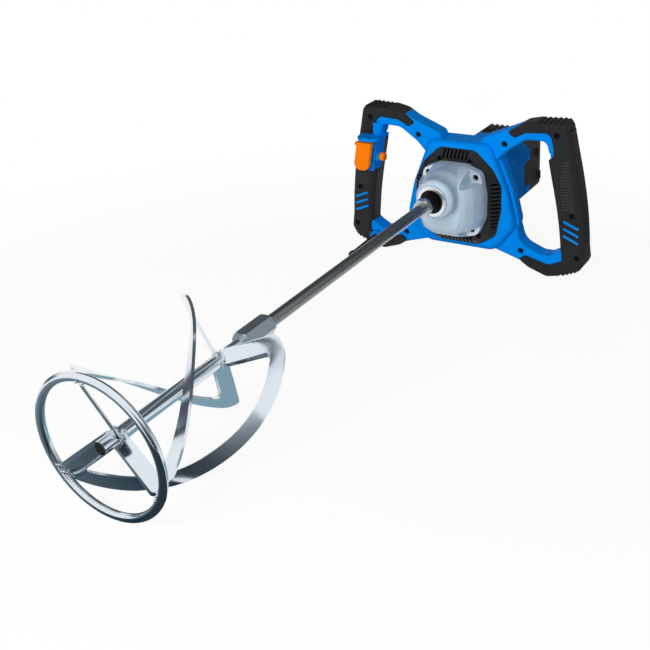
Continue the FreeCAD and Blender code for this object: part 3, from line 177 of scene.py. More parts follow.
# Finishes: a texture is written as its scale, detail and roughness, a range as its low and high ends
blueSet = {"dark": (0.0, 0.205, 0.70), "pale": (0.0, 0.255, 0.84), "tones": (0.1, 0.95),
           "grain": (1500, 2.0), "patches": 14, "patchShare": 0.5, "rough": (0.34, 0.50),
           "metallic": 0.0, "gloss": 0.015, "bump": 0.10, "bumpDepth": 0.12 * mm}
blackSet = {"dark": (0.005, 0.005, 0.006), "pale": (0.016, 0.016, 0.018), "tones": (0.0, 1.0),
            "grain": (1900, 2.0), "patches": 30, "patchShare": 0.5, "rough": (0.34, 0.55),
            "metallic": 0.0, "gloss": 0.25, "bump": 0.16, "bumpDepth": 0.12 * mm}
orangeSet = {"dark": (0.92, 0.17, 0.0), "pale": (1.0, 0.235, 0.0), "tones": (0.0, 1.0),
             "grain": (1700, 2.0), "patches": 40, "patchShare": 0.6, "rough": (0.30, 0.44),
             "metallic": 0.0, "gloss": 0.12, "bump": 0.07, "bumpDepth": 0.1 * mm}
# black oxide, painted near black: partly the screws' own dark oxide, partly painted shade for the holes they
# sit in
oxideAndShadeSet = {"dark": (0.003, 0.003, 0.0035), "pale": (0.010, 0.010, 0.011), "tones": (0.0, 1.0),
            "grain": (900, 3.0), "patches": 60, "patchShare": 0.5, "rough": (0.35, 0.55),
            "metallic": 0.25, "gloss": 0.12, "bump": 0.08, "bumpDepth": 0.1 * mm}


def grainedSkin(name, values):    # moulded plastic, or oiled black oxide that is also painted near black as the shade in its screw holes: a fine grain over faint patches
    material, wire = newFinish(name)
    point = onTool(wire)
    grain = noise(point, *values["grain"])
    patches = noise(point, values["patches"])
    sockets = {"Base Color": tint(spread(patches, *values["tones"]), values["dark"], values["pale"]),
               "Metallic": values["metallic"],
               "Roughness": spread(blend(grain, patches, values["patchShare"]), *values["rough"]),
               "Specular IOR Level": values["gloss"],
               "Normal": relief(grain, values["bump"], values["bumpDepth"])}
    shown(wire, sockets)
    return material


rubberSet = {"dark": (0.008, 0.008, 0.009), "pale": (0.021, 0.020, 0.022), "gloss": 0.24}
# paler rubber for the raised lines: a painted highlight for the light on their crests
ridgeHighlightSet = {"dark": (0.017, 0.016, 0.017), "pale": (0.038, 0.036, 0.037), "gloss": 0.3}
leatherSet = {"hide": 1100, "pores": (1760, 2.0), "dust": (26, 4.0), "tones": (0.0, 0.9), "dustShare": 0.6,
              "rough": (0.48, 0.72), "poreShare": 0.6, "bump": 0.30, "bumpDepth": 0.18 * mm}


def softRubber(name, values):    # soft cover with a leathery grain
    material, wire = newFinish(name)
    point = onTool(wire)
    hide = grey(cells(point, leatherSet["hide"]))
    pores = noise(point, *leatherSet["pores"])
    dust = noise(point, *leatherSet["dust"])
    height = blend(hide, pores, leatherSet["poreShare"])
    sockets = {"Base Color": tint(spread(dust, *leatherSet["tones"]), values["dark"], values["pale"]),
               "Roughness": spread(blend(pores, dust, leatherSet["dustShare"]), *leatherSet["rough"]),
               "Specular IOR Level": values["gloss"],
               "Normal": relief(height, leatherSet["bump"], leatherSet["bumpDepth"])}
    shown(wire, sockets)
    return material


castSet = {"dark": (0.45, 0.56, 0.67), "pale": (0.54, 0.67, 0.79), "turned": (0.86, 0.88, 0.90),
           "noseDepth": 1.2 * mm, "noseInner": 15.5 * mm, "noseOuter": 20.8 * mm, "noseSoft": 0.2 * mm,
           "padFront": 60.1 * mm, "padBack": 60.7 * mm, "padSoft": 0.1 * mm, "padShare": 0.55,
           "skin": (750, 4.0, 0.6), "patches": 22, "turning": 18000.0, "turningHeight": 0.15,
           "metallic": (0.30, 0.92), "skinShare": 0.7, "rough": (0.36, 0.54), "milledSmooth": 0.16,
           "bump": 0.16, "bumpDepth": 0.3 * mm}


def castAluminium():    # blasted casting with a turned nose ring and milled screw pads
    material, wire = newFinish("cast_aluminium")
    point = onTool(wire)
    x, y, z = parted(point)
    radius = distance(x, z)
    ring = window(radius, castSet["noseInner"], castSet["noseOuter"], castSet["noseSoft"])
    nose = ring * (y < castSet["noseDepth"])
    pads = window(y, castSet["padFront"], castSet["padBack"], castSet["padSoft"])
    milled = wire.maths("MAXIMUM", nose, pads * castSet["padShare"])
    skin = noise(point, *castSet["skin"])
    patches = noise(point, castSet["patches"])
    lathe = wire.node("ShaderNodeMath", {"operation": "SINE"}, {0: radius * castSet["turning"]})
    base = tint(patches, castSet["dark"], castSet["pale"])
    rough = spread(blend(patches, skin, castSet["skinShare"]), *castSet["rough"])
    height = skin * (1 - milled) + lathe * nose * castSet["turningHeight"]
    sockets = {"Base Color": tintOver(milled, base, castSet["turned"]),
               "Metallic": spread(milled, *castSet["metallic"]),
               "Roughness": rough - milled * castSet["milledSmooth"],
               "Normal": relief(height, castSet["bump"], castSet["bumpDepth"])}
    shown(wire, sockets)
    return material


platingSet = {"flakes": 900, "grain": (1600, 2.0), "drawn": (420, 9, 420), "streaks": (1.0, 4.0, 0.6),
              "clouds": (16, 5.0, 0.6), "flakeTone": 0.2, "streakTone": 0.35, "cloudTone": 0.45,
              "cloudShare": 0.5, "grainHeight": 0.6, "flakeHeight": 0.2, "streakHeight": 0.2,
              "bumpDepth": 0.1 * mm}
zincSet = {"dark": (0.62, 0.68, 0.74), "pale": (0.86, 0.91, 0.96), "rough": (0.07, 0.20), "bump": 0.06,
           "cutEnd": -610.85 * mm, "cutRadius": 6.3 * mm, "cut": (0.085, 0.078, 0.074), "cutRough": 0.35}
hexagonSet = {"dark": (0.42, 0.46, 0.49), "pale": (0.62, 0.67, 0.70), "rough": (0.22, 0.36), "bump": 0.03}
rodSet = {"dark": (0.27, 0.28, 0.275), "pale": (0.42, 0.43, 0.42), "rough": (0.20, 0.32), "bump": 0.006}


def platedSteel(name, values):    # bright plating: a fine grain, drawn streaks and handling marks
    material, wire = newFinish(name)
    point = onTool(wire)
    flakes = grey(cells(point, platingSet["flakes"]))
    grain = noise(point, *platingSet["grain"])
    streaks = noise(stretched(point, platingSet["drawn"]), *platingSet["streaks"])
    clouds = noise(point, *platingSet["clouds"])
    tone = (flakes * platingSet["flakeTone"] + streaks * platingSet["streakTone"]
            + clouds * platingSet["cloudTone"])
    height = (grain * platingSet["grainHeight"] + flakes * platingSet["flakeHeight"]
              + streaks * platingSet["streakHeight"])
    base = tint(tone, values["dark"], values["pale"])
    rough = spread(blend(streaks, clouds, platingSet["cloudShare"]), *values["rough"])
    if "cutEnd" in values:    # the sawn end of the shaft is bare and dull
        x, y, z = parted(point)
        sawn = (y < values["cutEnd"]) * (distance(x, z) < values["cutRadius"])
        base = tintOver(sawn, base, values["cut"])
        rough = rough + sawn * values["cutRough"]
    sockets = {"Base Color": base,
               "Metallic": 1.0,
               "Roughness": rough,
               "Normal": relief(height, values["bump"], platingSet["bumpDepth"])}
    shown(wire, sockets)
    return material


workedSet = {"lines": (1.0, 3.0), "patches": 45, "patchShare": 0.4, "bump": 0.1, "bumpDepth": 0.1 * mm}
innerSet = {
    "gear_steel": {"name": "ground_steel", "dark": (0.35, 0.35, 0.36), "pale": (0.62, 0.62, 0.63),
                   "drawn": (900, 60, 900), "rough": (0.22, 0.4)},
    "core_steel": {"name": "stacked_sheet", "dark": (0.12, 0.12, 0.13), "pale": (0.32, 0.32, 0.34),
                   "drawn": (30, 2400, 30), "rough": (0.4, 0.6)},
    "copper": {"name": "drawn_copper", "dark": (0.55, 0.22, 0.10), "pale": (0.80, 0.40, 0.22),
               "drawn": (300, 1600, 300), "rough": (0.25, 0.45)},
    "brush_brass": {"name": "pressed_brass", "dark": (0.55, 0.37, 0.12), "pale": (0.80, 0.60, 0.28),
                    "drawn": (500, 500, 500), "rough": (0.3, 0.5)}}


def workedMetal(values):    # inner metal pieces, ground, stacked or drawn
    material, wire = newFinish(values["name"])
    point = onTool(wire)
    lines = noise(stretched(point, values["drawn"]), *workedSet["lines"])
    patches = noise(point, workedSet["patches"])
    tone = blend(lines, patches, workedSet["patchShare"])
    sockets = {"Base Color": tint(tone, values["dark"], values["pale"]),
               "Metallic": 1.0,
               "Roughness": spread(lines, *values["rough"]),
               "Normal": relief(lines, workedSet["bump"], workedSet["bumpDepth"])}
    shown(wire, sockets)
    return material


carbonSet = {"dark": (0.010, 0.010, 0.011), "pale": (0.05, 0.05, 0.052), "skin": (1400, 4.0),
             "rough": (0.5, 0.8), "bump": 0.2, "bumpDepth": 0.1 * mm}


def pressedCarbon():
    material, wire = newFinish("pressed_carbon")
    skin = noise(onTool(wire), *carbonSet["skin"])
    sockets = {"Base Color": tint(skin, carbonSet["dark"], carbonSet["pale"]),
               "Roughness": spread(skin, *carbonSet["rough"]),
               "Normal": relief(skin, carbonSet["bump"], carbonSet["bumpDepth"])}
    shown(wire, sockets)
    return material


finishOf = {"blue_plastic": grainedSkin("moulded_blue", blueSet),
            "black_rubber": softRubber("soft_rubber", rubberSet),
            "black_plastic": grainedSkin("black_moulding", blackSet),
            "orange_plastic": grainedSkin("bright_orange", orangeSet),
            "cast_aluminium": castAluminium(),
            "zinc_steel": platedSteel("zinc_plating", zincSet),
            "black_steel": grainedSkin("black_oxide_painted_shade", oxideAndShadeSet),
            "carbon": pressedCarbon()}
for slot, values in innerSet.items():
    finishOf[slot] = workedMetal(values)
ridgeHighlightRubber = softRubber("ridge_highlight_rubber", ridgeHighlightSet)    # raised lines, made paler as a painted highlight for the light on their crests
turnedHexagon = platedSteel("turned_hexagon", hexagonSet)
ownFinish = {"drive_rod": platedSteel("drawn_rod", rodSet),    # nodes that differ from the rest of their slot
             "rod_coupling": turnedHexagon, "jam_nut": turnedHexagon}
print("finishes made:", len(finishOf), "and", len(ownFinish), "nodes with their own")

edgeSet = {"weld": 0.004 * mm, "bevelAngle": 38, "segments": 2, "crisp": "blade_",
           "widths": {"blue_plastic": 0.5, "black_rubber": 0.5, "black_plastic": 0.3, "orange_plastic": 0.4,
                      "cast_aluminium": 0.7, "zinc_steel": 0.35, "black_steel": 0.2}}


def dressNode(name, node):    # finish, smooth faces and softly broken edges; the vertices stay as they are
    node.data.materials.clear()
    node.data.materials.append(ownFinish.get(name, finishOf[slotOf[name]]))
    for face in node.data.polygons:
        face.use_smooth = True
    if name.startswith(edgeSet["crisp"]):    # cut sheet keeps its own crisp edges
        node.data.set_sharp_from_angle(angle=math.radians(edgeSet["bevelAngle"]))
        return
    weld = node.modifiers.new("weld", "WELD")
    weld.merge_threshold = edgeSet["weld"]
    width = edgeSet["widths"].get(slotOf[name])
    if width:
        bevel = node.modifiers.new("broken_edges", "BEVEL")
        bevel.width = width * mm
        bevel.segments = edgeSet["segments"]
        bevel.limit_method = "ANGLE"
        bevel.angle_limit = math.radians(edgeSet["bevelAngle"])
        bevel.use_clamp_overlap = True
        bevel.harden_normals = False
    smooth = node.modifiers.new("even_normals", "WEIGHTED_NORMAL")
    smooth.keep_sharp = True


for name, node in nodes.items():
    dressNode(name, node)
print("frame nodes dressed")


def handOver(name, builder, body, slot, finish=None):    # turns a bmesh into a piece that rides on its body
    mesh = bpy.data.meshes.new(name)
    builder.normal_update()
    builder.to_mesh(mesh)
    builder.free()
    for face in mesh.polygons:
        face.use_smooth = True
    mesh.materials.append(finish or finishOf[slot])
    piece = bpy.data.objects.new(name, mesh)
    bpy.context.scene.collection.objects.link(piece)
    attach(piece, body)


tubeSides = 8


# Round bar along points; the first corner of each of its rings faces away from the centre
def addTube(builder, path, centre, radii, closed):
    rings = []
    last = len(path) - 1
    for i, point in enumerate(path):
        ahead = path[(i + 1) % len(path)] if closed else path[min(i + 1, last)]
        behind = path[i - 1] if closed else path[max(i - 1, 0)]
        along = (ahead - behind).normalized()
        away = point - centre
        away = (away - along * away.dot(along)).normalized()
        beside = along.cross(away)
        ring = []
        for k in range(tubeSides):
            angle = 2 * math.pi * k / tubeSides
            offset = away * math.cos(angle) + beside * math.sin(angle)
            ring.append(builder.verts.new(point + offset * radii[i]))
        rings.append(ring)
    for i in range(len(rings) if closed else last):
        first, second = rings[i], rings[(i + 1) % len(rings)]
        for k in range(tubeSides):
            after = (k + 1) % tubeSides
            builder.faces.new((first[k], first[after], second[after], second[k]))
    if not closed:
        builder.faces.new(reversed(rings[0]))
        builder.faces.new(rings[-1])


# Welds of the paddle, in millimetres and degrees; the blades' sizes are those of the frame's blades
weldSet = {"bladeCount": 3, "start": 218.3, "twist": 162.4, "low": -611.0, "height": 186.5, "radius": 70.0,
           "slope": 54.1, "lean": 17.5, "strip": 16.0, "thickness": 3.0, "shaft": 7.0,
           "ring": 69.8, "ringBar": 4.25, "plateOff": 0.4, "leastOut": 1.0,
           "footBead": 1.4, "footSteps": 132, "footRipples": 18, "footOff": 0.3,
           "endRound": 0.4, "faceRound": 0.5,
           "ringBead": 1.5, "ringSteps": 48, "ringRipples": 8, "ringFrom": -58, "ringSweep": 170,
           "ringTries": 6,
           "seamBead": 0.5, "seamSteps": 60, "seamRipples": 9, "seamTurn": 222.6,
           "thin": 0.74, "wave": 0.26, "uneven": 0.05, "seed": 11}
weldChance = random.Random(weldSet["seed"])


def rippled(count, radius, ripples):    # bead thickness along a weld: scale-like ripples, none quite alike
    sizes = []
    for i in range(count):
        wave = weldSet["wave"] * abs(math.sin(math.pi * ripples * i / count))
        change = weldChance.uniform(-weldSet["uneven"], weldSet["uneven"])
        sizes.append(radius * (weldSet["thin"] + wave + change) * mm)
    return sizes


def armPlace(index, share):    # where a blade's arm leaves the shaft: its turn, its lean and its height
    turn = math.radians(weldSet["start"] + 360 * index / weldSet["bladeCount"] + weldSet["twist"] * share)
    lean = math.tan(math.radians(weldSet["lean"])) * (1 - 2 * share)
    height = weldSet["low"] + weldSet["height"] * share + lean * weldSet["radius"]
    return turn, lean, height


def plateSpot(turn, out, around, height):
    return tool(out * math.cos(turn) - around * math.sin(turn), height,
                out * math.sin(turn) + around * math.cos(turn))


def outTo(radius, around):    # how far out a circle lies, beside its middle line
    return math.sqrt(max(radius**2 - around**2, weldSet["leastOut"]))


def squared(value, power):    # makes a sine's circle squarer
    return math.copysign(abs(value) ** power, value)


def footWeld(builder, index, share):    # closed bead round the foot of one arm, on the shaft's skin
    turn, lean, height = armPlace(index, share)
    slope = math.radians(weldSet["slope"])
    half = weldSet["strip"] / 2
    thick = weldSet["thickness"] / 2 + weldSet["footBead"] * weldSet["plateOff"]
    shaft = weldSet["shaft"] + weldSet["footBead"] * weldSet["footOff"]
    path = []
    for i in range(weldSet["footSteps"]):
        angle = 2 * math.pi * i / weldSet["footSteps"]
        u = half * squared(math.cos(angle), weldSet["endRound"])
        v = thick * squared(math.sin(angle), weldSet["faceRound"])
        around = u * math.sin(slope) + v * math.cos(slope)
        out = outTo(shaft, around)
        level = height - lean * out + u * math.cos(slope) - v * math.sin(slope)
        path.append(plateSpot(turn, out, around, level))
    centre = plateSpot(turn, weldSet["shaft"] / 2, 0, height - lean * weldSet["shaft"])
    sizes = rippled(weldSet["footSteps"], weldSet["footBead"], weldSet["footRipples"])
    addTube(builder, path, centre, sizes, True)


def ringWeld(builder, index, face):    # open bead where one face of a blade's corner meets the ring's bar
    turn, lean, height = armPlace(index, 0)
    slope = math.radians(weldSet["slope"])
    v = face * (weldSet["thickness"] / 2 + weldSet["ringBead"] * weldSet["plateOff"])
    path = []
    for i in range(weldSet["ringSteps"]):
        minor = math.radians(weldSet["ringFrom"] + weldSet["ringSweep"] * i / (weldSet["ringSteps"] - 1))
        reach = weldSet["ring"] - weldSet["ringBar"] * math.cos(minor)
        level = weldSet["low"] + weldSet["ringBar"] * math.sin(minor)
        out = reach
        for attempt in range(weldSet["ringTries"]):    # the plate leans, so its place is closed in on
            u = (level - height + lean * out + v * math.sin(slope)) / math.cos(slope)
            around = u * math.sin(slope) + v * math.cos(slope)
            out = outTo(reach, around)
        path.append(plateSpot(turn, out, around, level))
    centre = plateSpot(turn, weldSet["ring"], around, weldSet["low"])
    sizes = rippled(weldSet["ringSteps"], weldSet["ringBead"], weldSet["ringRipples"])
    addTube(builder, path, centre, sizes, False)


def ringSeam(builder):    # the ring is bent from bar; its ends meet in one butt weld
    turn = math.radians(weldSet["seamTurn"])
    path = []
    for i in range(weldSet["seamSteps"]):
        minor = 2 * math.pi * i / weldSet["seamSteps"]
        reach = weldSet["ring"] + weldSet["ringBar"] * math.cos(minor)
        path.append(plateSpot(turn, reach, 0, weldSet["low"] + weldSet["ringBar"] * math.sin(minor)))
    centre = plateSpot(turn, weldSet["ring"], 0, weldSet["low"])
    sizes = rippled(weldSet["seamSteps"], weldSet["seamBead"], weldSet["seamRipples"])
    addTube(builder, path, centre, sizes, True)


def paddleWelds():
    builder = bmesh.new()
    for index in range(weldSet["bladeCount"]):
        for bladeEnd in (0, 1):
            footWeld(builder, index, bladeEnd)
        for plateFace in (-1, 1):
            ringWeld(builder, index, plateFace)
    ringSeam(builder)
    handOver("paddle_welds", builder, "stirrer", "zinc_steel")


paddleWelds()
print("paddle welded")


def skinSpot(covers, start, way):    # first point of some covers that a ray meets, and its normal
    best = None
    for name in covers:
        met, spot, normal, face = nodes[name].ray_cast(start, way)
        if met and (best is None or (spot - start).length < (best[0] - start).length):
            best = (spot, normal)
    return best


barSet = {"arc": 10, "sink": 0.5, "crown": 0.7,
          "taper": ((0.0, 0.55), (0.02, 0.85), (0.06, 1.0), (0.94, 1.0), (0.98, 0.85), (1.0, 0.55))}


def archRing(builder, foot, across, up, width, height, values):    # open arch on a face, its ends sunk in
    ring = []
    for k in range(values["arc"] + 1):
        angle = math.pi * k / values["arc"]
        rise = math.sin(angle) ** values["crown"] * (height + values["sink"]) - values["sink"]
        ring.append(builder.verts.new(foot + (across * math.cos(angle) * width / 2 + up * rise) * mm))
    return ring


def closeBar(builder, rings):    # skin over a row of arches, with two end faces
    for first, second in zip(rings, rings[1:]):
        for k in range(len(first) - 1):
            builder.faces.new((first[k], second[k], second[k + 1], first[k + 1]))
    builder.faces.new(rings[0])
    builder.faces.new(reversed(rings[-1]))


def halfBar(builder, start, end, up, width, height):    # low rounded bar that stands on a flat face
    across = (end - start).normalized().cross(up)
    rings = []
    for share, size in barSet["taper"]:
        foot = start.lerp(end, share)
        rings.append(archRing(builder, foot, across, up, width * size, height * size, barSet))
    closeBar(builder, rings)


capSet = {"top": 28.0, "ribFirst": -24.0, "ribPitch": 8.0, "ribCount": 7, "ribFront": 211.0, "ribBack": 244.5,
          "ribWidth": 4.6, "ribHeight": 2.3, "side": 50.0,
          "lugs": ((232.0, 5.0, -7.0), (240.5, -32.0, -44.0)),    # place along the spindle, top and bottom
          "lugWidth": 6.5, "lugHeight": 2.6}


def capRibs():    # ribs along the top of the rear cap, and two lugs on each of its sides
    builder = bmesh.new()
    for index in range(capSet["ribCount"]):
        x = capSet["ribFirst"] + capSet["ribPitch"] * index
        front = tool(x, capSet["ribFront"], capSet["top"])
        back = tool(x, capSet["ribBack"], capSet["top"])
        halfBar(builder, front, back, toolUp, capSet["ribWidth"], capSet["ribHeight"])
    for sign in (-1, 1):
        x = sign * capSet["side"]
        outward = Vector((sign, 0, 0))
        for y, high, low in capSet["lugs"]:
            top = tool(x, y, high)
            bottom = tool(x, y, low)
            halfBar(builder, top, bottom, outward, capSet["lugWidth"], capSet["lugHeight"])
    handOver("rear_cap_ribs", builder, "housing", "black_plastic")


railSet = {"side": 50.0, "width": 4.2, "height": 1.5,    # each rail has a front and a back end
           "rails": (((146.0, 2.2), (205.8, -0.6)), ((187.0, -42.4), (205.8, -42.4)))}


def barrelRails():    # rails along the sides of the motor barrel
    builder = bmesh.new()
    for sign in (-1, 1):
        x = sign * railSet["side"]
        outward = Vector((sign, 0, 0))
        for front, back in railSet["rails"]:
            halfBar(builder, tool(x, *front), tool(x, *back), outward, railSet["width"], railSet["height"])
    handOver("barrel_rails", builder, "housing", "blue_plastic")


rimSet = {"y": 96.5, "high": 35.0, "low": -75.0, "count": 38, "from": 120.0, "width": 9.0, "height": 3.4,
          "ends": 4, "arc": 10, "sink": 0.6, "crown": 0.4}


def drumRims():    # moulded rim down each side of the drum, between the arms of a handle
    builder = bmesh.new()
    last = rimSet["count"] - 1
    for sign in (-1, 1):
        across = spindleAxis * -sign
        rings = []
        for i in range(rimSet["count"]):
            z = rimSet["high"] + (rimSet["low"] - rimSet["high"]) * i / last
            start = tool(sign * rimSet["from"], rimSet["y"], z)
            spot, normal = skinSpot(["motor_housing"], start, Vector((-sign, 0, 0)))
            normal = (normal - spindleAxis * normal.dot(spindleAxis)).normalized()
            height = rimSet["height"] * min(1.0, (min(i, last - i) + 1) / rimSet["ends"])
            rings.append(archRing(builder, spot, across, normal, rimSet["width"], height, rimSet))
        closeBar(builder, rings)
    handOver("drum_rims", builder, "housing", "blue_plastic")


capRibs()
barrelRails()
drumRims()
print("motor end detailed")

ridgeSet = {"inner": ((46, 144.6), (19, 139.0), (-24, 144.2)),    # the field's edges: height and x
            "outer": ((46, 151.6), (20, 157.5), (-24, 162.0)),
            "high": {"right": 44.5, "left": -3.0}, "low": -22.5, "span": 67.0, "count": 17, "from": 40.0,
            "rise": 1.1, "sink": 0.35, "columns": 14, "steps": 8, "bend": 1.2, "fade": 6, "crest": 3}


def between(rows, z):    # value at a height, from rows of (height, value) that run downwards
    for (highZ, high), (lowZ, low) in zip(rows, rows[1:]):
        if z >= lowZ:
            break
    return low + (high - low) * (z - lowZ) / (highZ - lowZ)


def ridgePatch(side, sign):    # field of fine cross ridges on the front of a grip
    builder = bmesh.new()
    pitch = ridgeSet["span"] / ridgeSet["count"]
    count = round((ridgeSet["high"][side] - ridgeSet["low"]) / pitch)
    rows = []
    for i in range(count * ridgeSet["steps"] + 1):
        z = ridgeSet["low"] + pitch * i / ridgeSet["steps"]
        wave = math.sin(math.pi * i / ridgeSet["steps"]) ** 2
        row = []
        for k in range(ridgeSet["columns"] + 1):
            share = k / ridgeSet["columns"]
            x = between(ridgeSet["inner"], z) * (1 - share) + between(ridgeSet["outer"], z) * share
            bend = ridgeSet["bend"] * (2 * share - 1) ** 2
            start = tool(sign * x, ridgeSet["from"], z - bend)
            spot, normal = skinSpot([side + "_grip_front"], start, spindleAxis)
            fade = min(1.0, ridgeSet["fade"] * share, ridgeSet["fade"] * (1 - share))
            sunk = 1 - fade * min(1, wave * ridgeSet["crest"])
            lift = ridgeSet["rise"] * wave * fade - ridgeSet["sink"] * sunk
            row.append(builder.verts.new(spot + normal * lift * mm))
        rows.append(row)
    for low, up in zip(rows, rows[1:]):
        for k in range(ridgeSet["columns"]):
            corners = (low[k], low[k + 1], up[k + 1], up[k])
            builder.faces.new(corners if sign > 0 else reversed(corners))
    handOver(side + "_grip_ridges", builder, "housing", "black_rubber", ridgeHighlightRubber)


stepSet = {"path": ((134.5, 66), (137.6, 58), (136.6, 49), (131.6, 41.5), (134.0, 26),
                    (142.0, -22), (150.5, -33.5)),
           "first": {"right": 0, "left": 5},    # the left grip shows the foot of the line alone
           "pace": 1.6, "bead": 0.5, "from": 40.0, "heart": (140, 130, 0), "taper": 0.25}


def stepLine(side, sign):    # fine raised edge of the panel that frames the ridges
    path = stepSet["path"][stepSet["first"][side]:]
    marks = []
    for (x0, z0), (x1, z1) in zip(path, path[1:]):
        count = max(2, round(math.hypot(x1 - x0, z1 - z0) / stepSet["pace"]))
        marks += [(x0 + (x1 - x0) * i / count, z0 + (z1 - z0) * i / count) for i in range(count)]
    marks.append(path[-1])
    spots = []
    sizes = []
    for i, (x, z) in enumerate(marks):
        spot, normal = skinSpot([side + "_grip_front"], tool(sign * x, stepSet["from"], z), spindleAxis)
        spots.append(spot)
        fromEnd = min(i, len(marks) - 1 - i)
        sizes.append(stepSet["bead"] * mm * min(1.0, stepSet["taper"] * (1 + fromEnd)))
    x, y, z = stepSet["heart"]
    builder = bmesh.new()
    addTube(builder, spots, tool(sign * x, y, z), sizes, False)
    handOver(side + "_grip_step", builder, "housing", "black_rubber", ridgeHighlightRubber)


seamSet = {"low": {"z": -39.0, "centre": 155.5, "first": -120, "last": 100},
           "top": {"z": 70.0, "centre": 139.5, "first": -75, "last": 100},
           "plane": 99.8, "reach": 60.0, "steps": 64, "bead": 0.42}


def gripSeam(side, sign, part):    # fine line where the grip's cover meets a bumper, on the outer side
    values = seamSet[part]
    sweep = values["last"] - values["first"]
    heart = tool(sign * values["centre"], seamSet["plane"], values["z"])
    spots = []
    for i in range(seamSet["steps"]):
        angle = math.radians(values["first"] + sweep * i / (seamSet["steps"] - 1))
        x = values["centre"] + seamSet["reach"] * math.cos(angle)
        start = tool(sign * x, seamSet["plane"] + seamSet["reach"] * math.sin(angle), values["z"])
        met = skinSpot([side + "_grip_front", side + "_grip_rear"], start, (heart - start).normalized())
        if met:
            spots.append(met[0])
    builder = bmesh.new()
    addTube(builder, spots, heart, [seamSet["bead"] * mm] * len(spots), False)
    handOver(f"{side}_grip_seam_{part}", builder, "housing", "black_rubber")


for side, sign in (("right", 1), ("left", -1)):
    ridgePatch(side, sign)
    stepLine(side, sign)
    gripSeam(side, sign, "low")
    gripSeam(side, sign, "top")
print("grips detailed")


def seenDirectly(wire):    # 1 for rays from the eye, and for those that metal or glass sends on
    rays = ("Is Camera Ray", "Is Glossy Ray", "Is Transmission Ray")
    eye, gloss, through = wire.node("ShaderNodeLightPath", None, None, rays)
    return wire.maths("MINIMUM", eye + gloss + through, 1.0)


def flatSheet(name, corners, material):
    mesh = bpy.data.meshes.new(name)
    mesh.from_pydata(corners, [], [(0, 1, 2, 3)])
    mesh.materials.append(material)
    sheet = bpy.data.objects.new(name, mesh)
    bpy.context.scene.collection.objects.link(sheet)
    return sheet


boardSet = {"lift": 0.002, "cloud": (5.0, 1.0), "cloudMiddle": 0.5}    # what the grey boards share


def lying(x0, y0, x1, y1, lift=boardSet["lift"]):    # corners of a level sheet, by default just off the floor
    return (x0, y0, lift), (x1, y0, lift), (x1, y1, lift), (x0, y1, lift)


def upright(x0, y0, x1, y1, high):
    return (x0, y0, 0), (x1, y1, 0), (x1, y1, high), (x0, y0, high)


def leaning(y0, y1, foot, head):    # foot and head are the (x, z) of its lower and upper edge
    return ((foot[0], y0, foot[1]), (foot[0], y1, foot[1]), (head[0], y1, head[1]), (head[0], y0, head[1]))


floorSet = {"half": 6.0, "bounce": (0.5, 0.5, 0.51), "seen": (0.95, 0.95, 0.96), "shadowShare": 0.09,
            "near": 0.35, "far": 0.95}


def paleFloor():    # white to the eye; near the tool a share of it takes the shadow
    material, wire = newFinish("pale_floor")
    direct = seenDirectly(wire)
    colour = tint(direct, floorSet["bounce"], floorSet["seen"])
    dull = wire.node("ShaderNodeBsdfDiffuse", None, {"Color": colour})
    white = wire.node("ShaderNodeEmission", None, {"Color": (1, 1, 1, 1), "Strength": 1.0})
    x, y, z = parted(wire.node("ShaderNodeTexCoord", out="Object"))
    clear = eased(distance(x, y), floorSet["near"], floorSet["far"])
    share = direct * (1 - (1 - clear) * floorSet["shadowShare"])
    mixed = wire.node("ShaderNodeMixShader", None, {0: share, 1: dull, 2: white})
    wire.node("ShaderNodeOutputMaterial", None, {"Surface": mixed})
    half = floorSet["half"]
    floor = flatSheet("studio_floor", lying(-half, -half, half, half, 0), material)


# Each board's grey runs from one shade to another along x (0) or upwards (2), where two are given
flagSet = {
    "side": {"from": (0.13, 0.14, 0.145), "corners": leaning(0.55, 1.9, (0.95, -0.02), (0.05, 1.05))},
    "facet": {"from": (0.5, 0.56, 0.6), "corners": leaning(0.25, 0.55, (0.95, -0.02), (0.05, 1.05))},
    "roof": {"from": (0.09, 0.11, 0.125),
             "corners": ((-1.6, 0.95, 0.6), (2.2, 0.95, 0.6), (2.2, 0.2, 1.3), (-1.6, 0.2, 1.3))},
    "left": {"from": (0.11, 0.12, 0.125), "corners": leaning(0.3, 1.9, (-0.75, 0.15), (-0.55, 0.75))},
    "near": {"from": (0.045, 0.055, 0.068), "to": (0.75, 0.8, 0.85), "axis": 2, "power": 2.5,
             "corners": upright(0.45, -1.45, 1.55, -0.4, 1.0)},
    "right": {"from": (0.3, 0.36, 0.4), "to": (0.75, 0.8, 0.85), "axis": 2, "power": 2.5,
              "corners": upright(1.55, -0.4, 1.5, 0.15, 1.0)},
    "low": {"from": (0.07, 0.085, 0.1), "to": (0.9, 0.95, 1.0), "axis": 2, "power": 6.0,
            "corners": upright(-0.75, -0.68, -0.75, -0.02, 0.26)},
    "front": {"from": (0.03, 0.042, 0.052), "to": (0.04, 0.05, 0.06), "axis": 0, "power": 2.5,
              "corners": lying(0.03, -0.95, 0.9, -0.38)},
    "paddle": {"from": (0.4, 0.5, 0.56), "to": (0.015, 0.035, 0.052), "axis": 0, "power": 0.6, "uneven": 0.5,
               "corners": lying(-0.3, -0.95, 0.03, -0.36)},
    "shaft": {"from": (0.26, 0.4, 0.46), "corners": lying(-0.2, -0.36, 0.25, -0.24)},
    "rod": {"from": (0.55, 0.6, 0.6), "corners": lying(0.03, -0.08, 0.45, 0.4)},
    "body": {"from": (0.05, 0.06, 0.07), "corners": lying(0.1, 0.4, 0.6, 1.0)}}


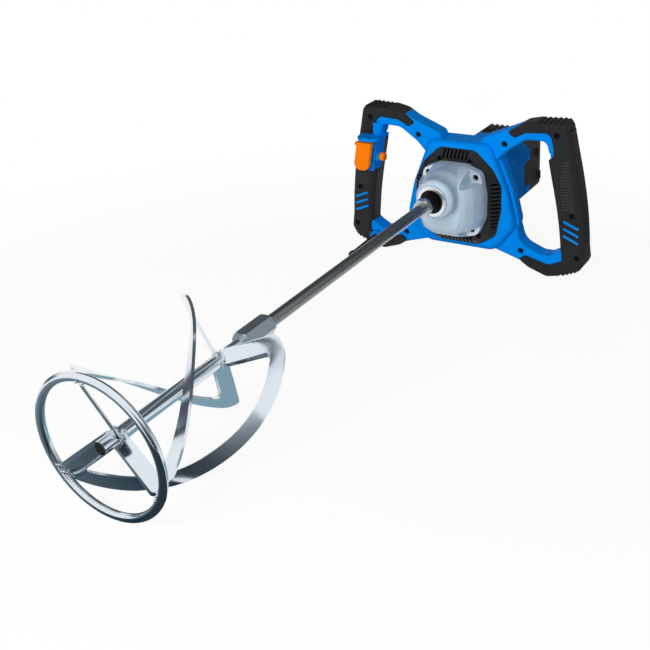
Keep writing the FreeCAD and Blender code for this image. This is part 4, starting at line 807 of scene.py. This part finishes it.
def flagCloth(name, values):    # glows in one grey, or from one grey to another
    material, wire = newFinish(name)
    shade = (*values["from"], 1)
    if "to" in values:
        share = parted(wire.node("ShaderNodeTexCoord", out="Generated"))[values["axis"]] ** values["power"]
        if "uneven" in values:
            point = wire.node("ShaderNodeTexCoord", out="Object")
            cloud = noise(point, *boardSet["cloud"])
            share = share + (cloud - boardSet["cloudMiddle"]) * values["uneven"]
        shade = tint(share, values["from"], values["to"])
    glow = wire.node("ShaderNodeEmission", None, {"Color": shade, "Strength": 1.0})
    wire.node("ShaderNodeOutputMaterial", None, {"Surface": glow})
    return material


def greyFlags():    # grey boards round the set; only reflections show them
    for name, values in flagSet.items():
        board = flatSheet("flag_" + name, values["corners"], flagCloth("flag_" + name, values))
        board.visible_camera = False
        board.visible_diffuse = False
        board.visible_shadow = False


surroundSet = {"ambient": 0.29, "dim": 0.65, "dimFrom": 0.15, "dimTo": 0.8}


def whiteSurround():    # white to the eye and in reflections, softer as light and dimmest overhead
    world = bpy.data.worlds.new("studio_surround")
    world.use_nodes = True
    world.node_tree.nodes.clear()
    wire = Wire(world.node_tree)
    x, y, z = parted(wire.node("ShaderNodeTexCoord", out="Generated"))
    overhead = eased(z, surroundSet["dimFrom"], surroundSet["dimTo"])
    ambient = (1 - overhead * surroundSet["dim"]) * surroundSet["ambient"]
    strength = seenDirectly(wire) * (1 - ambient) + ambient
    shine = wire.node("ShaderNodeBackground", None, {"Color": (1, 1, 1, 1), "Strength": strength})
    wire.node("ShaderNodeOutputWorld", None, {"Surface": shine})
    bpy.context.scene.world = world


lampSet = {"key": {"place": (0.0, -1.75, 0.85), "size": 1.0, "power": 32},
           "fill": {"place": (1.4, -0.9, 0.5), "size": 1.1, "power": 8},
           "back": {"place": (-0.5, 1.8, 0.45), "size": 1.0, "power": 12}}
lampAim = Vector((0, 0, 0.1))


def studioLamps():
    for name, values in lampSet.items():
        lamp = bpy.data.lights.new(name, "AREA")
        lamp.shape = "DISK"
        lamp.size = values["size"]
        lamp.energy = values["power"]
        holder = bpy.data.objects.new(name, lamp)
        holder.location = values["place"]
        away = Vector(values["place"]) - lampAim
        holder.rotation_euler = away.to_track_quat("Z", "Y").to_euler()
        holder.visible_glossy = False    # metal mirrors the surround and the boards, not the lamps
        bpy.context.scene.collection.objects.link(holder)


cameraSet = {"place": (0.57424, -0.93206, 0.51995), "aim": (-0.05810, 0.01128, -0.00231),
             "roll": -2.604, "lens": 55.956, "sensor": 36.0}


def photoCamera():
    camera = bpy.data.cameras.new("photo_camera")
    camera.sensor_width = cameraSet["sensor"]
    camera.lens = cameraSet["lens"]
    holder = bpy.data.objects.new("photo_camera", camera)
    away = Vector(cameraSet["place"]) - Vector(cameraSet["aim"])
    turn = away.to_track_quat("Z", "Y").to_matrix().to_4x4()
    roll = Matrix.Rotation(math.radians(cameraSet["roll"]), 4, "Z")
    holder.matrix_world = Matrix.Translation(cameraSet["place"]) @ turn @ roll
    bpy.context.scene.collection.objects.link(holder)
    bpy.context.scene.camera = holder


paleFloor()
greyFlags()
whiteSurround()
studioLamps()
photoCamera()
bpy.context.scene.view_settings.view_transform = "Standard"
print("studio set")
